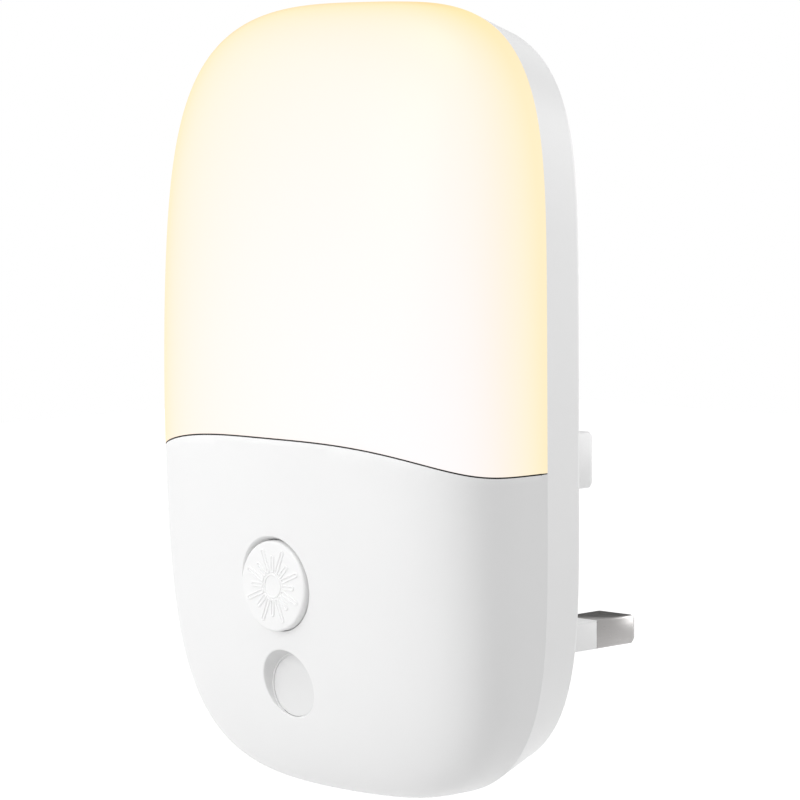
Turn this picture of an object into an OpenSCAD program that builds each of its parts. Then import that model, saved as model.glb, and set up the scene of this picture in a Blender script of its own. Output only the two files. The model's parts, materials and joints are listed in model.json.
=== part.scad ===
// Plug in night light with a three pin plug on its back.
// X runs to the right, Y runs to the back and Z runs up. The origin is on the plug's flat face,
// midway between the live and neutral pins, so the pins point to +Y and the lit front faces -Y.

/* [Casing] */
// Width of the casing at the front edge of its side wall
body_width = 60; // [57:0.5:72]
// Height of the casing at the front edge of its side wall
body_height = 105; // [102:0.5:126]
// Depth of the side wall
side_depth = 8; // [7:0.25:12]
// How far the domed front stands out from the side wall
dome_depth = 21.2; // [19:0.1:26]
// Size of the back edge as a share of the front edge
back_taper = 0.957; // [0.94:0.001:0.99]
// Height of the casing's centre above the live and neutral pins
body_rise = 33.5; // [31:0.5:38]
// Wall of the two front shells
shell_wall = 1.8; // [1.4:0.1:2.2]
// Wall of the rear housing and of its plug base
housing_wall = 2.2; // [1.8:0.1:2.8]
// Height of the locating ridge inside the front shells
ridge_height = 1.5; // [1:0.1:2]

/* [Seam] */
// Height of the seam at the middle, against the casing's centre
seam_level = -4; // [-8:0.5:0]
// How far the seam drops at the sides
seam_drop = 4.2; // [0:0.1:6]
// Width of the line between the diffuser and the front cover
seam_gap = 0.16; // [0.1:0.02:0.4]
// Length of the diffuser's tongue behind the front cover
tongue_length = 2.6; // [2:0.1:4]

/* [Plug] */
// Thickness of the raised plug base
base_depth = 9.5; // [7.5:0.25:12]
// Width of the plug base
base_width = 37; // [36.4:0.1:39]
// Thickness of the plug base's flat face
face_wall = 2.5; // [2:0.1:3.5]
// Distance between the live and neutral pins
pin_spacing = 22.23; // [22.1:0.01:22.4]
// Height of the earth pin above the live and neutral pins
earth_rise = 22.23; // [22.1:0.01:22.4]
// Long side of a live or neutral pin's section
pin_width = 6.35; // [6.2:0.01:6.5]
// Thickness of every pin
pin_thickness = 3.98; // [3.9:0.01:4.05]
// Length of a live or neutral pin from the plug face
pin_length = 17.7; // [17.2:0.1:18.2]
// Long side of the earth pin's section
earth_width = 7.97; // [7.8:0.01:8.1]
// Length of the earth pin from the plug face
earth_length = 22.73; // [22.2:0.01:23.2]
// Length of an insulating sleeve from the plug face
sleeve_length = 9.3; // [9:0.1:9.5]
// Wall of an insulating sleeve
sleeve_wall = 0.62; // [0.5:0.01:0.8]

/* [Button] */
// Distance of the button below the casing's centre
button_drop = 23.3; // [21:0.1:26]
// Radius of the button cap
button_radius = 5.95; // [5:0.05:7.15]
// Running clearance around the button cap
button_clearance = 0.1; // [0.05:0.01:0.15]
// How far the button travels when it is pressed
button_travel = 0.4; // [0.3:0.05:0.5]
// Height of the raised sun lines on the cap
sun_height = 0.16; // [0.1:0.02:0.3]

/* [Light sensor] */
// Distance of the light sensor below the casing's centre
sensor_drop = 36.9; // [35:0.1:39]
// Radius of the window that shows in the recess
window_radius = 4.05; // [3.5:0.05:5]
// Growth of the recess's radius for each millimetre towards the front
recess_flare = 0.35; // [0.1:0.05:0.6]

/* [Boards] */
// Thickness of the main board
board_thickness = 1.6; // [1.2:0.2:2]
// Width of the main board
board_width = 27; // [25:0.5:29]
// Height of the main board
board_height = 37.5; // [36:0.5:39]
// Thickness of the LED board
led_board_thickness = 1.2; // [1:0.1:1.6]
// Width of the LED board
led_board_width = 30; // [26:0.5:32]
// Height of the LED board
led_board_height = 32; // [30:0.5:34]
// Side of a square LED chip package
led_size = 3; // [2.5:0.1:3.5]

/* [Hidden] */
$fn = 64;

// Outline and crown of the casing
outline_side_power = 3.2;
outline_end_power = 5.5;
crown_side_root = 4.6;
crown_end_root = 3.75;
outline_steps = 20;
dome_rings = 14;

// Levels along Y, from the plug face at 0 to the front
back_y = -base_depth;
floor_y = back_y - housing_wall;
rim_y = back_y - side_depth;
back_chamfer = 0.8;
inside_y = rim_y - 2;
far = 200;
slip = 0.05;
touch = 0.01;

// Inside of the rear housing
cavity_width = body_width * back_taper - 2 * housing_wall;
cavity_height = body_height * back_taper - 2 * housing_wall;
ridge_slip = 0.1;

// Tongue of the diffuser
tongue_slip = 0.12;
tongue_wall = 1.2;
tongue_root = 2;
tongue_inset = shell_wall + tongue_slip + tongue_wall;

// Plug base
base_bottom = -(pin_thickness / 2 + 9.5);
base_top = earth_rise + earth_width / 2 + 7.5;
base_corner = 9;
well_wall = 1.6;
well_depth = 4;
flange_rim = 1;
flange_depth = 1.2;
pin_tip_length = 1.1;
pin_tip_inset = 0.5;
tail_width = 5;
tail_thickness = 2.6;
well_y = -face_wall - well_depth;
retainer_depth = 1.6;
retainer_y = well_y - retainer_depth;
retainer_width = pin_spacing + 9.2;
retainer_height = 8;
retainer_stem = 9;
terminal_size = [8, 5];
terminal_wall = 0.8;
tail_y = retainer_y - terminal_wall - 2.6;
lug_width = 3;
lug_y = retainer_y - 6.1;
pins = [[pin_spacing / 2, 0], [-pin_spacing / 2, 0]];

// Screws
screw_radius = 1.25;
screw_head_radius = 2.4;
screw_head_height = 1.5;
screw_hole_radius = 1.5;
screw_length = 11;
head_bore_radius = 2.7;
boss_radius = 3;
well_floor = 2;
cover_screw_x = base_width / 2 + head_bore_radius + 0.5;
cover_screw_z = body_rise - 19;
diffuser_screw_x = 0.283 * body_width;
diffuser_screw_z = body_rise + 0.395 * body_height;
head_depth = 2.6;
boss_end = back_y - head_depth - well_floor;
small_screw_radius = 0.9;
small_head_radius = 1.9;
small_head_height = 1.2;
small_screw_length = 6;
retainer_screws_z = [0, 12];

// Main board, its posts and what stands on it
board_front_y = rim_y - 8.5;
board_back_y = board_front_y + board_thickness;
board_bottom = body_rise - button_drop - 20.9;
board_post_x = 10.2;
board_posts = [[board_post_x, board_bottom + 3.4], [-board_post_x, board_bottom + 3.4],
               [board_post_x, board_bottom + board_height - 3.4],
               [-board_post_x, board_bottom + board_height - 3.4]];
post_radius = 2.3;
lead_radius = 0.3;
lead_tail = 1.2;
lead_hole_radius = 0.45;
film_z = board_bottom + 12.7;
film_size = [13, 6, 8];
film_leads = [[5, film_z], [-5, film_z]];
can_x = -7.5;
can_z = board_bottom + 24.2;
can_radius = 3.15;
can_length = 8.5;
can_leads = [[can_x - 1.25, can_z], [can_x + 1.25, can_z]];
varistor_x = 8.2;
varistor_z = board_bottom + 24.2;
varistor_radius = 3.5;
varistor_depth = 3.2;
varistor_leads = [[varistor_x - 2.5, varistor_z], [varistor_x + 2.5, varistor_z]];
fusible_z = board_bottom + 3.7;
fusible_radius = 1.5;
fusible_length = 7.5;
fusible_leads = [[6.5, fusible_z], [-6.5, fusible_z]];
bridge_z = board_bottom + 30.2;
bridge_size = [8.4, 6.4, 3.2];
bridge_leads = [for (x = [-3.1, 3.1], z = [-2, 2]) [x, bridge_z + z]];
chip_x = 9;
chip_z = board_bottom + 11.7;
chip_size = [3.9, 4.9, 1.5];
chip_pitch = 1.27;
chip_leg = [1.2, 0.4, 0.2];
resistor_size = [2, 1.25, 0.55];
resistor_places = concat(
    [for (rise = [8.2, 11.7, 15.2]) [-8.5, board_bottom + rise]],
    [for (x = [-8, 0, 8]) [x, board_bottom + 30.2]]);

// Button and tact switch
button_z = body_rise - button_drop;
button_top_recess = 0.2;
button_face_y = dome_y(0, button_z + button_radius) + button_top_recess;
button_skirt = 3.4;
button_flange_radius = button_radius + 0.8;
button_flange_room = button_flange_radius + 0.2;
button_flange_depth = 0.9;
button_bore_radius = button_radius + button_clearance;
button_guide_wall = 1.3;
pocket_flare = 0.35;
button_flange_y = button_face_y + button_skirt;
guide_end_y = button_flange_y - slip;
stem_radius = 1.9;
tact_size = 6;
tact_height = 3.5;
tact_frame_depth = 0.3;
tact_front_y = board_front_y - tact_height;
tact_body_y = tact_front_y + tact_frame_depth;
tact_cavity_radius = 2.5;
tact_leg = [0.5, 0.7];
tact_leg_x = (tact_size + tact_leg[0]) / 2;
tact_leg_z = 2.25;
tact_leads = [for (x = [-tact_leg_x, tact_leg_x], z = [-tact_leg_z, tact_leg_z])
    [x, button_z + z]];
snap_radius = 2.3;
snap_top_radius = 1.2;
snap_rise = 0.35;
snap_depth = 0.12;
plunger_radius = 1.7;
plunger_slip = 0.08;
plunger_front_y = board_front_y - 6;
plunger_flange_radius = 2.2;
plunger_flange_depth = 0.7;
plunger_flange_y = tact_body_y + slip;
tact_floor_y = plunger_flange_y + plunger_flange_depth + button_travel + snap_rise
    + snap_depth + 0.1;

// Sun on the button cap, as shares of the cap's radius
sun_ring = 0.27;
sun_ray_start = 0.35;
sun_short_ray = 0.62;
sun_long_ray = 0.8;
sun_rays = 16;
sun_ray_width = 0.52;
sun_line = 0.15;

// Light sensor and its window
sensor_z = body_rise - sensor_drop;
window_y = dome_y(0, sensor_z - window_radius) + 0.15;
window_depth = 1.2;
window_flange = 0.9;
window_slip = 0.08;
window_foot = sensor_z - 0.84 * window_radius;
recess_step = 0.2;
sensor_well_wall = 1.4;
sensor_radius = 1.5;
sensor_flange_radius = 1.9;
sensor_front_y = window_y + window_depth + 0.5;
sensor_length = 5.3;
sensor_pitch = 2.54;
sensor_leads = [[-sensor_pitch / 2, sensor_z], [sensor_pitch / 2, sensor_z]];

// LED board, reflector tray and baffle
led_board_back_y = floor_y - 3.5;
led_board_front_y = led_board_back_y - led_board_thickness;
led_board_bottom = body_rise + 5;
led_height = 0.8;
led_columns = 2;
led_rows = 4;
led_pitch_x = 15;
led_pitch_z = 8;
led_first_z = led_board_bottom + 4;
led_screws_z = [led_board_bottom + 8, led_board_bottom + 24];
tray_back_y = led_board_front_y - 0.1;
tray_floor = 1;
tray_front_y = led_board_front_y - 6;
tray_wall = 1;
tray_inset = 0.6;
tray_bottom = body_rise + 1.5;
led_window = led_size + 1.6;
baffle_offset = 1.2;
baffle_wall = 1.2;
baffle_slip = 0.3;
baffle_inset = max(tongue_inset, (body_width - cavity_width) / 2) + baffle_slip;
baffle_notch_width = 9;
baffle_notch_depth = 4;

// Bare label on the back
label_size = [32, 18];
label_depth = 0.15;
label_z = body_rise + 22;

// Wires: each ends square to the pad or lug that it is soldered to
wire_radius = 0.65;
wire_sides = 8;
solder = 0.1;
led_wire_x = 3;
led_wire_z = [board_bottom + board_height - 2.2, led_board_bottom + 2.5];
lane_y = floor_y - 1.7;
led_wire_route = [for (p = [
        [board_back_y + solder, led_wire_z[0]], [board_back_y + 2.4, led_wire_z[0]],
        [board_back_y + 4.9, led_wire_z[0] + 0.2], [board_back_y + 7.4, led_wire_z[0] + 1],
        [lane_y - 1.4, led_wire_z[0] + 3], [lane_y - 0.2, led_wire_z[0] + 5.8],
        [lane_y, led_wire_z[1] - 7], [lane_y, led_wire_z[1] - 3],
        [lane_y - 0.3, led_wire_z[1] - 1], [lane_y - 0.9, led_wire_z[1]],
        [led_board_back_y + solder, led_wire_z[1]]])
    [led_wire_x, p[0], p[1]]];
pin_wire_start = [pin_spacing / 2, lug_y, terminal_size[1] / 2 + terminal_wall / 2];
pin_wire_end = [9.5, board_back_y, film_z + 4.3];
pin_wire_route = [
    pin_wire_start - [0, solder, 0], pin_wire_start - [0, 1.4, -0.1],
    pin_wire_start + [-0.4, -2.6, 1], pin_wire_end + [0.6, 4.4, -1.3],
    pin_wire_end + [0.2, 3.1, -0.3], pin_wire_end + [0, 1.6, 0],
    pin_wire_end + [0, solder, 0]];

// Half width of the outline at a height, for a full width and height
function half_width(z, width, height) =
    width / 2 * pow(max(0, 1 - pow(abs(2 * z / height), outline_end_power)), 1 / outline_side_power);

// Outline of the casing seen from the front
function outline(width, height) = concat(
    [for (step = [-outline_steps : outline_steps - 1])
        let (z = height / 2 * sin(90 * step / outline_steps))
        [half_width(z, width, height), z]],
    [for (step = [outline_steps : -1 : 1 - outline_steps])
        let (z = height / 2 * sin(90 * step / outline_steps))
        [-half_width(z, width, height), z]]);

// Height of the crown above the rim at a place seen from the front
function crown(x, z, width, height, depth) =
    let (half = half_width(z, width, height))
    half < touch ? 0 :
    depth
        * pow(max(0, 1 - pow(min(1, abs(x) / half), 2)), 1 / crown_side_root)
        * pow(max(0, 1 - pow(abs(2 * z / height), 2)), 1 / crown_end_root);

// Y of the outer front surface at a place in the part's own frame
function dome_y(x, z) = rim_y - crown(x, z - body_rise, body_width, body_height, dome_depth);

// Height of the seam at a distance from the middle, in the part's own frame
function seam_z(x) = body_rise + seam_level - seam_drop * pow(abs(2 * x / body_width), 3);

// Points of a dome's ring at a share of its outline
function dome_ring(share, width, height, depth) =
    [for (point = outline(width, height))
        let (x = share * point[0], z = share * point[1])
        [x, share < 1 ? -crown(x, z, width, height, depth) : 0, z]];

// Direction of a route at one of its points
function heading(route, i) =
    let (d = route[min(i + 1, len(route) - 1)] - route[max(i - 1, 0)])
    d / norm(d);

// Ring of a tube at one of its route's points
function tube_ring(route, radius, i) =
    let (along = heading(route, i),
         side = cross(along, [1, 0, 0]) / norm(cross(along, [1, 0, 0])),
         over = cross(side, along))
    [for (k = [0 : wire_sides - 1])
        route[i] + radius * (cos(360 * k / wire_sides) * side + sin(360 * k / wire_sides) * over)];

// Solid through a list of rings that all have the same number of points
module loft(rings) {
    n = len(rings[0]);
    last = len(rings) - 1;
    points = [for (ring = rings) each ring];
    sides = [for (r = [0 : last - 1], k = [0 : n - 1])
        let (a = r * n + k, b = r * n + (k + 1) % n)
        each [[a, b, b + n], [a, b + n, a + n]]];
    first_cap = [for (k = [n - 1 : -1 : 0]) k];
    last_cap = [for (k = [0 : n - 1]) last * n + k];
    polyhedron(points, concat([first_cap], sides, [last_cap]), convexity = 4);
}

// Crowned solid whose base lies on the rim, set in from the outer surface
module dome(inset) {
    width = body_width - 2 * inset;
    height = body_height - 2 * inset;
    depth = dome_depth - inset;
    n = 4 * outline_steps;
    rings = [for (k = [1 : dome_rings]) dome_ring(sin(90 * k / dome_rings), width, height, depth)];
    points = concat([[0, -depth, 0]], [for (ring = rings) each ring]);
    fan = [for (k = [0 : n - 1]) [0, 1 + (k + 1) % n, 1 + k]];
    sides = [for (r = [0 : dome_rings - 2], k = [0 : n - 1])
        let (a = 1 + r * n + k, b = 1 + r * n + (k + 1) % n)
        each [[a, b, b + n], [a, b + n, a + n]]];
    base = [for (k = [n - 1 : -1 : 0]) 1 + (dome_rings - 1) * n + k];
    translate([0, rim_y, body_rise])
        polyhedron(points, concat(fan, sides, [base]), convexity = 4);
}

// Keeps a moulding with curved walls as one closed skin
module moulding() {
    resize([0, 0, 0])
        union() children();
}

// Extrudes a shape drawn in X and Z between two levels along Y
module slab(front, back) {
    translate([0, back, 0])
        rotate([90, 0, 0])
            linear_extrude(back - front)
                children();
}

// Round bar along Y between two levels
module bar(radius, front, back, x = 0, z = 0) {
    translate([x, back, z])
        rotate([90, 0, 0])
            cylinder(r = radius, h = back - front);
}

// Casing outline of a given size, placed at the casing's centre
module casing_outline(width, height) {
    translate([0, body_rise])
        polygon(outline(width, height));
}

// Everything between two heights over or under the seam
module seam_band(low, high) {
    xs = [for (k = [-20 : 20]) k / 20 * (body_width / 2 + 4)];
    slab(rim_y - dome_depth - 5, 0)
        polygon(concat(
            [for (x = xs) [x, seam_z(x) + low]],
            [for (k = [len(xs) - 1 : -1 : 0]) [xs[k], seam_z(xs[k]) + high]]));
}

// Rounded rectangle by its corners, seen from the front
module rounded(left, bottom, right, top, radius) {
    difference() {
        translate([left, bottom])
            square([right - left, top - bottom]);
        for (side = [0, 1], end = [0, 1])
            translate([side ? right : left, end ? top : bottom])
                mirror([side, 0])
                    mirror([0, end])
                        difference() {
                            translate([-1, -1])
                                square(radius + 1);
                            translate([radius, radius])
                                circle(radius);
                        }
    }
}

// Outline of the plug base, drawn in by a wall where asked
module base_outline(inset) {
    rounded(-base_width / 2 + inset, base_bottom + inset, base_width / 2 - inset,
            base_top - inset, base_corner - inset);
}

// Rectangle seen from the front, by its centre and size
module plate_shape(x, z, width, height) {
    translate([x - width / 2, z - height / 2])
        square([width, height]);
}

// Screw with a cross recess, its head's seat at a level and its tip to the front
module screw(x, z, seat, length, radius, head_radius, head_height) {
    slot = head_radius * 0.3;
    difference() {
        union() {
            bar(radius, seat - length, seat + touch, x, z);
            bar(head_radius, seat, seat + head_height, x, z);
        }
        for (turn = [0, 90])
            translate([x, seat + head_height, z])
                rotate([0, turn, 0])
                    cube([2 * head_radius * 0.62, head_height * 1.1, slot], center = true);
    }
}

// Case screw whose head sits in a well of the housing
module case_screw(x, z) {
    screw(x, z, back_y - head_depth, screw_length, screw_radius, screw_head_radius,
          screw_head_height);
}

// Boss of a front shell, from the shell to the floor of a screw well
module shell_boss(x, z, end) {
    bar(boss_radius, rim_y - dome_depth, end, x, z);
}

// Pilot hole of a shell boss
module boss_pilot(x, z, end) {
    bar(screw_radius + slip, end - screw_length, end + 1, x, z);
}

// Place for a screw well, with the head's bore open to the back
module screw_well_body(x, z) {
    bar(head_bore_radius + 1.1, boss_end, back_y - touch, x, z);
}

module screw_well_bore(x, z) {
    bar(head_bore_radius, back_y - head_depth, back_y + 1, x, z);
    bar(screw_hole_radius, boss_end - 1, back_y, x, z);
}

// Well around a pin, with a pocket for the pin's flange at its inner end
module pin_well(x, z, width, height) {
    wall = 2 * (well_wall + flange_rim);
    slab(well_y, -touch)
        plate_shape(x, z, width + wall, height + wall);
}

module pin_well_bore(x, z, width, height) {
    slab(-far, 1)
        plate_shape(x, z, width + 2 * slip, height + 2 * slip);
    slab(-far, well_y + flange_depth + slip)
        plate_shape(x, z, width + 2 * flange_rim + 2 * slip, height + 2 * flange_rim + 2 * slip);
}

// Rear casing with its side wall, the hollow plug base, pin wells and board posts.
module rear_housing() {
    small = back_taper;
    outer = [
        [for (p = outline(body_width, body_height)) [p[0], rim_y, p[1] + body_rise]],
        [for (p = outline(body_width * small, body_height * small))
            [p[0], back_y - back_chamfer, p[1] + body_rise]],
        [for (p = outline(body_width * small - 2 * back_chamfer,
                          body_height * small - 2 * back_chamfer))
            [p[0], back_y, p[1] + body_rise]]
    ];
    color("white")
    difference() {
        union() {
            difference() {
                union() {
                    loft(outer);
                    slab(back_y - 1, 0)
                        base_outline(0);
                }
                slab(rim_y - 1, floor_y)
                    casing_outline(cavity_width, cavity_height);
                slab(floor_y - 1, -face_wall)
                    base_outline(housing_wall);
            }
            slab(rim_y - ridge_height, rim_y + 1)
                difference() {
                    casing_outline(body_width - 2 * (shell_wall + ridge_slip),
                                   body_height - 2 * (shell_wall + ridge_slip));
                    casing_outline(cavity_width, cavity_height);
                }
            for (side = [-1, 1]) {
                screw_well_body(side * cover_screw_x, cover_screw_z);
                screw_well_body(side * diffuser_screw_x, diffuser_screw_z);
            }
            for (p = pins)
                pin_well(p[0], p[1], pin_width, pin_thickness);
            pin_well(0, earth_rise, pin_thickness, earth_width);
            for (z = retainer_screws_z)
                bar(small_screw_radius + 1.3, well_y, -touch, 0, z);
            for (p = board_posts)
                bar(post_radius, board_back_y, -touch, p[0], p[1]);
            for (z = led_screws_z)
                bar(post_radius, led_board_back_y, floor_y + 1, 0, z);
        }
        for (side = [-1, 1]) {
            screw_well_bore(side * cover_screw_x, cover_screw_z);
            screw_well_bore(side * diffuser_screw_x, diffuser_screw_z);
        }
        for (p = pins)
            pin_well_bore(p[0], p[1], pin_width, pin_thickness);
        pin_well_bore(0, earth_rise, pin_thickness, earth_width);
        for (z = retainer_screws_z)
            bar(small_screw_radius + slip, -far / 2, -face_wall + 1, 0, z);
        for (p = board_posts)
            bar(small_screw_radius + slip, board_back_y - 1, board_back_y + small_screw_length,
                p[0], p[1]);
        for (z = led_screws_z)
            bar(small_screw_radius + slip, led_board_back_y - 1, floor_y + 1, 0, z);
    }
}

// Lower front shell with the button's guide, the light sensor's recess and two screw bosses.
module front_cover() {
    color("white")
    difference() {
        moulding() {
            difference() {
                intersection() {
                    dome(0);
                    seam_band(-far, 0);
                }
                dome(shell_wall);
            }
            intersection() {
                dome(shell_wall / 2);
                union() {
                    bar(button_bore_radius + button_guide_wall, rim_y - dome_depth, guide_end_y,
                        0, button_z);
                    bar(window_radius + window_flange + sensor_well_wall, rim_y - dome_depth,
                        window_y + window_depth, 0, sensor_z);
                    for (side = [-1, 1])
                        shell_boss(side * cover_screw_x, cover_screw_z, rim_y);
                }
            }
            for (side = [-1, 1])
                bar(boss_radius, rim_y - 1, boss_end, side * cover_screw_x, cover_screw_z);
        }
        bar(button_bore_radius, -far, inside_y, 0, button_z);
        flared_cut(button_bore_radius, pocket_flare, dome_y(0, button_z - button_radius), button_z);
        bar(button_flange_room, guide_end_y, inside_y, 0, button_z);
        bar(window_radius, -far, inside_y, 0, sensor_z);
        flared_cut(window_radius + recess_step, recess_flare, window_y - recess_step, sensor_z);
        slab(window_y, inside_y)
            window_rim(window_slip);
        for (side = [-1, 1])
            boss_pilot(side * cover_screw_x, cover_screw_z, boss_end);
    }
}

// Outline of the sensor window's flange, cut off at its foot where the dome falls back
module window_rim(slip) {
    intersection() {
        translate([0, sensor_z])
            circle(window_radius + window_flange + slip);
        translate([-2 * window_radius, window_foot - slip])
            square(4 * window_radius);
    }
}

// Round hollow that opens out from a level towards the front
module flared_cut(radius, flare, level, z) {
    reach = level - (rim_y - dome_depth) + 1;
    translate([0, level, z])
        rotate([90, 0, 0])
            cylinder(r1 = radius, r2 = radius + flare * reach, h = reach);
}

// Upper front shell of milky plastic, with a tongue that goes behind the front cover.
module diffuser() {
    color("lightyellow")
    difference() {
        moulding() {
            difference() {
                intersection() {
                    dome(0);
                    seam_band(seam_gap, far);
                }
                dome(shell_wall);
            }
            intersection() {
                difference() {
                    dome(shell_wall - slip);
                    dome(tongue_inset);
                }
                seam_band(seam_gap, tongue_root);
                slab(-far, rim_y - ridge_height - ridge_slip)
                    plate_shape(0, body_rise, far, far);
            }
            intersection() {
                difference() {
                    dome(shell_wall + tongue_slip);
                    dome(tongue_inset);
                }
                seam_band(-tongue_length, tongue_root);
                slab(-far, rim_y - ridge_height - ridge_slip)
                    plate_shape(0, body_rise, far, far);
            }
            for (side = [-1, 1]) {
                intersection() {
                    dome(shell_wall / 2);
                    shell_boss(side * diffuser_screw_x, diffuser_screw_z, rim_y);
                }
                bar(boss_radius, rim_y - 1, boss_end, side * diffuser_screw_x, diffuser_screw_z);
            }
        }
        for (side = [-1, 1])
            boss_pilot(side * diffuser_screw_x, diffuser_screw_z, boss_end);
    }
}

// Wall between the lit half and the unlit half, behind the seam, with a notch for the LED wires.
module light_baffle() {
    color("white")
    difference() {
        moulding()
            intersection() {
                union() {
                    dome(baffle_inset);
                    slab(rim_y - touch, floor_y)
                        casing_outline(cavity_width - 2 * baffle_slip,
                                       cavity_height - 2 * baffle_slip);
                }
                seam_band(baffle_offset, baffle_offset + baffle_wall);
            }
        slab(floor_y - baffle_notch_depth, floor_y + 1)
            plate_shape(0, body_rise, baffle_notch_width, 30);
    }
}

// Outline of the reflector tray
module tray_shape(inset) {
    gap = tray_inset + inset;
    intersection() {
        casing_outline(cavity_width - 2 * gap, cavity_height - 2 * gap);
        translate([-body_width, tray_bottom + inset])
            square([2 * body_width, body_height]);
    }
}

// Middle of each LED
function led_places() =
    [for (row = [0 : led_rows - 1], column = [0 : led_columns - 1])
        [(column - (led_columns - 1) / 2) * led_pitch_x, led_first_z + row * led_pitch_z]];

// White tray around the LEDs that throws their light to the front.
module reflector_tray() {
    color("white")
    difference() {
        slab(tray_front_y, tray_back_y)
            tray_shape(0);
        slab(tray_front_y - 1, tray_back_y - tray_floor)
            tray_shape(tray_wall);
        for (place = led_places())
            slab(tray_front_y, tray_back_y + 1)
                plate_shape(place[0], place[1], led_window, led_window);
        for (z = led_screws_z)
            bar(small_screw_radius + 0.2, tray_front_y, tray_back_y + 1, 0, z);
        for (side = [-1, 1])
            bar(boss_radius + baffle_slip, tray_front_y - 1, tray_back_y + 1,
                side * diffuser_screw_x, diffuser_screw_z);
    }
}

// Bare label stuck on the back of the casing.
module rating_label() {
    color("gainsboro")
    slab(back_y, back_y + label_depth)
        rounded(-label_size[0] / 2, label_z - label_size[1] / 2,
                label_size[0] / 2, label_z + label_size[1] / 2, 1.5);
}

// Straight pin between two levels along Y, with a bevelled tip
module bevelled_pin(x, z, width, height, root, tip) {
    slope = tip - pin_tip_length;
    w = width / 2;
    h = height / 2;
    translate([x, 0, z])
        intersection() {
            translate([0, 0, -height])
                linear_extrude(2 * height)
                    polygon([[-w, root], [w, root], [w, slope], [w - pin_tip_inset, tip],
                             [pin_tip_inset - w, tip], [-w, slope]]);
            rotate([0, -90, 0])
                translate([0, 0, -width])
                    linear_extrude(2 * width)
                        polygon([[-h, root], [h, root], [h, slope], [h - pin_tip_inset, tip],
                                 [pin_tip_inset - h, tip], [-h, slope]]);
        }
}

// Flange that holds a pin in its well
module pin_flange(x, z, width, height) {
    slab(well_y, well_y + flange_depth)
        plate_shape(x, z, width + 2 * flange_rim, height + 2 * flange_rim);
}

// Metal pin: tail, flange, a core inside the sleeve and the bare end
module metal_pin(x, z) {
    color("darkkhaki")
    union() {
        slab(tail_y, well_y + touch)
            plate_shape(x, z, tail_width, tail_thickness);
        pin_flange(x, z, pin_width, pin_thickness);
        slab(well_y + flange_depth - touch, sleeve_length + touch)
            plate_shape(x, z, pin_width - 2 * sleeve_wall, pin_thickness - 2 * sleeve_wall);
        bevelled_pin(x, z, pin_width, pin_thickness, sleeve_length, pin_length);
    }
}

// Insulating sleeve, level with the sides of the bare end
module pin_sleeve(x, z) {
    color("white")
    slab(well_y + flange_depth, sleeve_length)
        difference() {
            plate_shape(x, z, pin_width, pin_thickness);
            plate_shape(x, z, pin_width - 2 * sleeve_wall, pin_thickness - 2 * sleeve_wall);
        }
}

// Plastic earth pin that opens the socket's shutters.
module earth_pin() {
    color("white")
    union() {
        pin_flange(0, earth_rise, pin_thickness, earth_width);
        bevelled_pin(0, earth_rise, pin_thickness, earth_width, well_y + flange_depth - touch,
                     earth_length);
    }
}

// Live pin, on the right seen from the front.
module live_pin() {
    metal_pin(pins[0][0], pins[0][1]);
}

// Neutral pin, on the left seen from the front.
module neutral_pin() {
    metal_pin(pins[1][0], pins[1][1]);
}

// Insulating sleeve of the live pin.
module live_pin_sleeve() {
    pin_sleeve(pins[0][0], pins[0][1]);
}

// Insulating sleeve of the neutral pin.
module neutral_pin_sleeve() {
    pin_sleeve(pins[1][0], pins[1][1]);
}

// T-shaped plate that holds the three pins' flanges in their wells.
module pin_retainer() {
    top = earth_rise + earth_width / 2 + 2;
    color("ivory")
    difference() {
        slab(retainer_y, well_y)
            difference() {
                union() {
                    plate_shape(0, 0, retainer_width, retainer_height);
                    translate([-retainer_stem / 2, 0])
                        square([retainer_stem, top]);
                }
                for (p = pins)
                    plate_shape(p[0], p[1], tail_width + 2 * slip, tail_thickness + 2 * slip);
            }
        for (z = retainer_screws_z)
            bar(small_screw_radius + 0.2, retainer_y - 1, well_y + 1, 0, z);
    }
}

// Small screw with its head to the front
module front_screw(x, z, seat, length, radius, head_radius, head_height) {
    translate([0, seat, 0])
        mirror([0, 1, 0])
            translate([0, -seat, 0])
                screw(x, z, seat, length, radius, head_radius, head_height);
}

module small_screw(x, z, seat) {
    front_screw(x, z, seat, small_screw_length, small_screw_radius, small_head_radius,
                small_head_height);
}

// Two screws of the pin retainer.
module retainer_screws() {
    color("silver")
    for (z = retainer_screws_z)
        small_screw(0, z, retainer_y);
}

// Brass solder terminal on a pin's tail, with a lug to the front
module terminal(x, z) {
    lug_z = z + terminal_size[1] / 2;
    color("goldenrod")
    difference() {
        union() {
            slab(retainer_y - terminal_wall, retainer_y)
                plate_shape(x, z, terminal_size[0], terminal_size[1]);
            slab(lug_y, retainer_y)
                plate_shape(x, lug_z + terminal_wall / 2 - touch, lug_width, terminal_wall);
        }
        slab(retainer_y - 2 * terminal_wall, retainer_y + 1)
            plate_shape(x, z, tail_width + slip, tail_thickness + slip);
    }
}

// Solder terminal of the live pin.
module live_terminal() {
    terminal(pins[0][0], pins[0][1]);
}

// Solder terminal of the neutral pin.
module neutral_terminal() {
    terminal(pins[1][0], pins[1][1]);
}

// Insulated wire along a route
module wire(route) {
    loft([for (i = [0 : len(route) - 1]) tube_ring(route, wire_radius, i)]);
}

// Wire from the live terminal to the main board.
module live_wire() {
    color("saddlebrown")
    wire(pin_wire_route);
}

// Wire from the neutral terminal to the main board.
module neutral_wire() {
    color("royalblue")
    mirror([1, 0, 0])
        wire(pin_wire_route);
}

// Wire from the main board to the LED board's positive pad.
module led_wire_positive() {
    color("red")
    wire(led_wire_route);
}

// Wire from the main board to the LED board's negative pad.
module led_wire_negative() {
    color("black")
    mirror([1, 0, 0])
        wire(led_wire_route);
}

// Round leads of a part on the back of the main board
module back_leads(places, body_y) {
    for (p = places)
        bar(lead_radius, board_front_y - lead_tail, body_y, p[0], p[1]);
}

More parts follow.
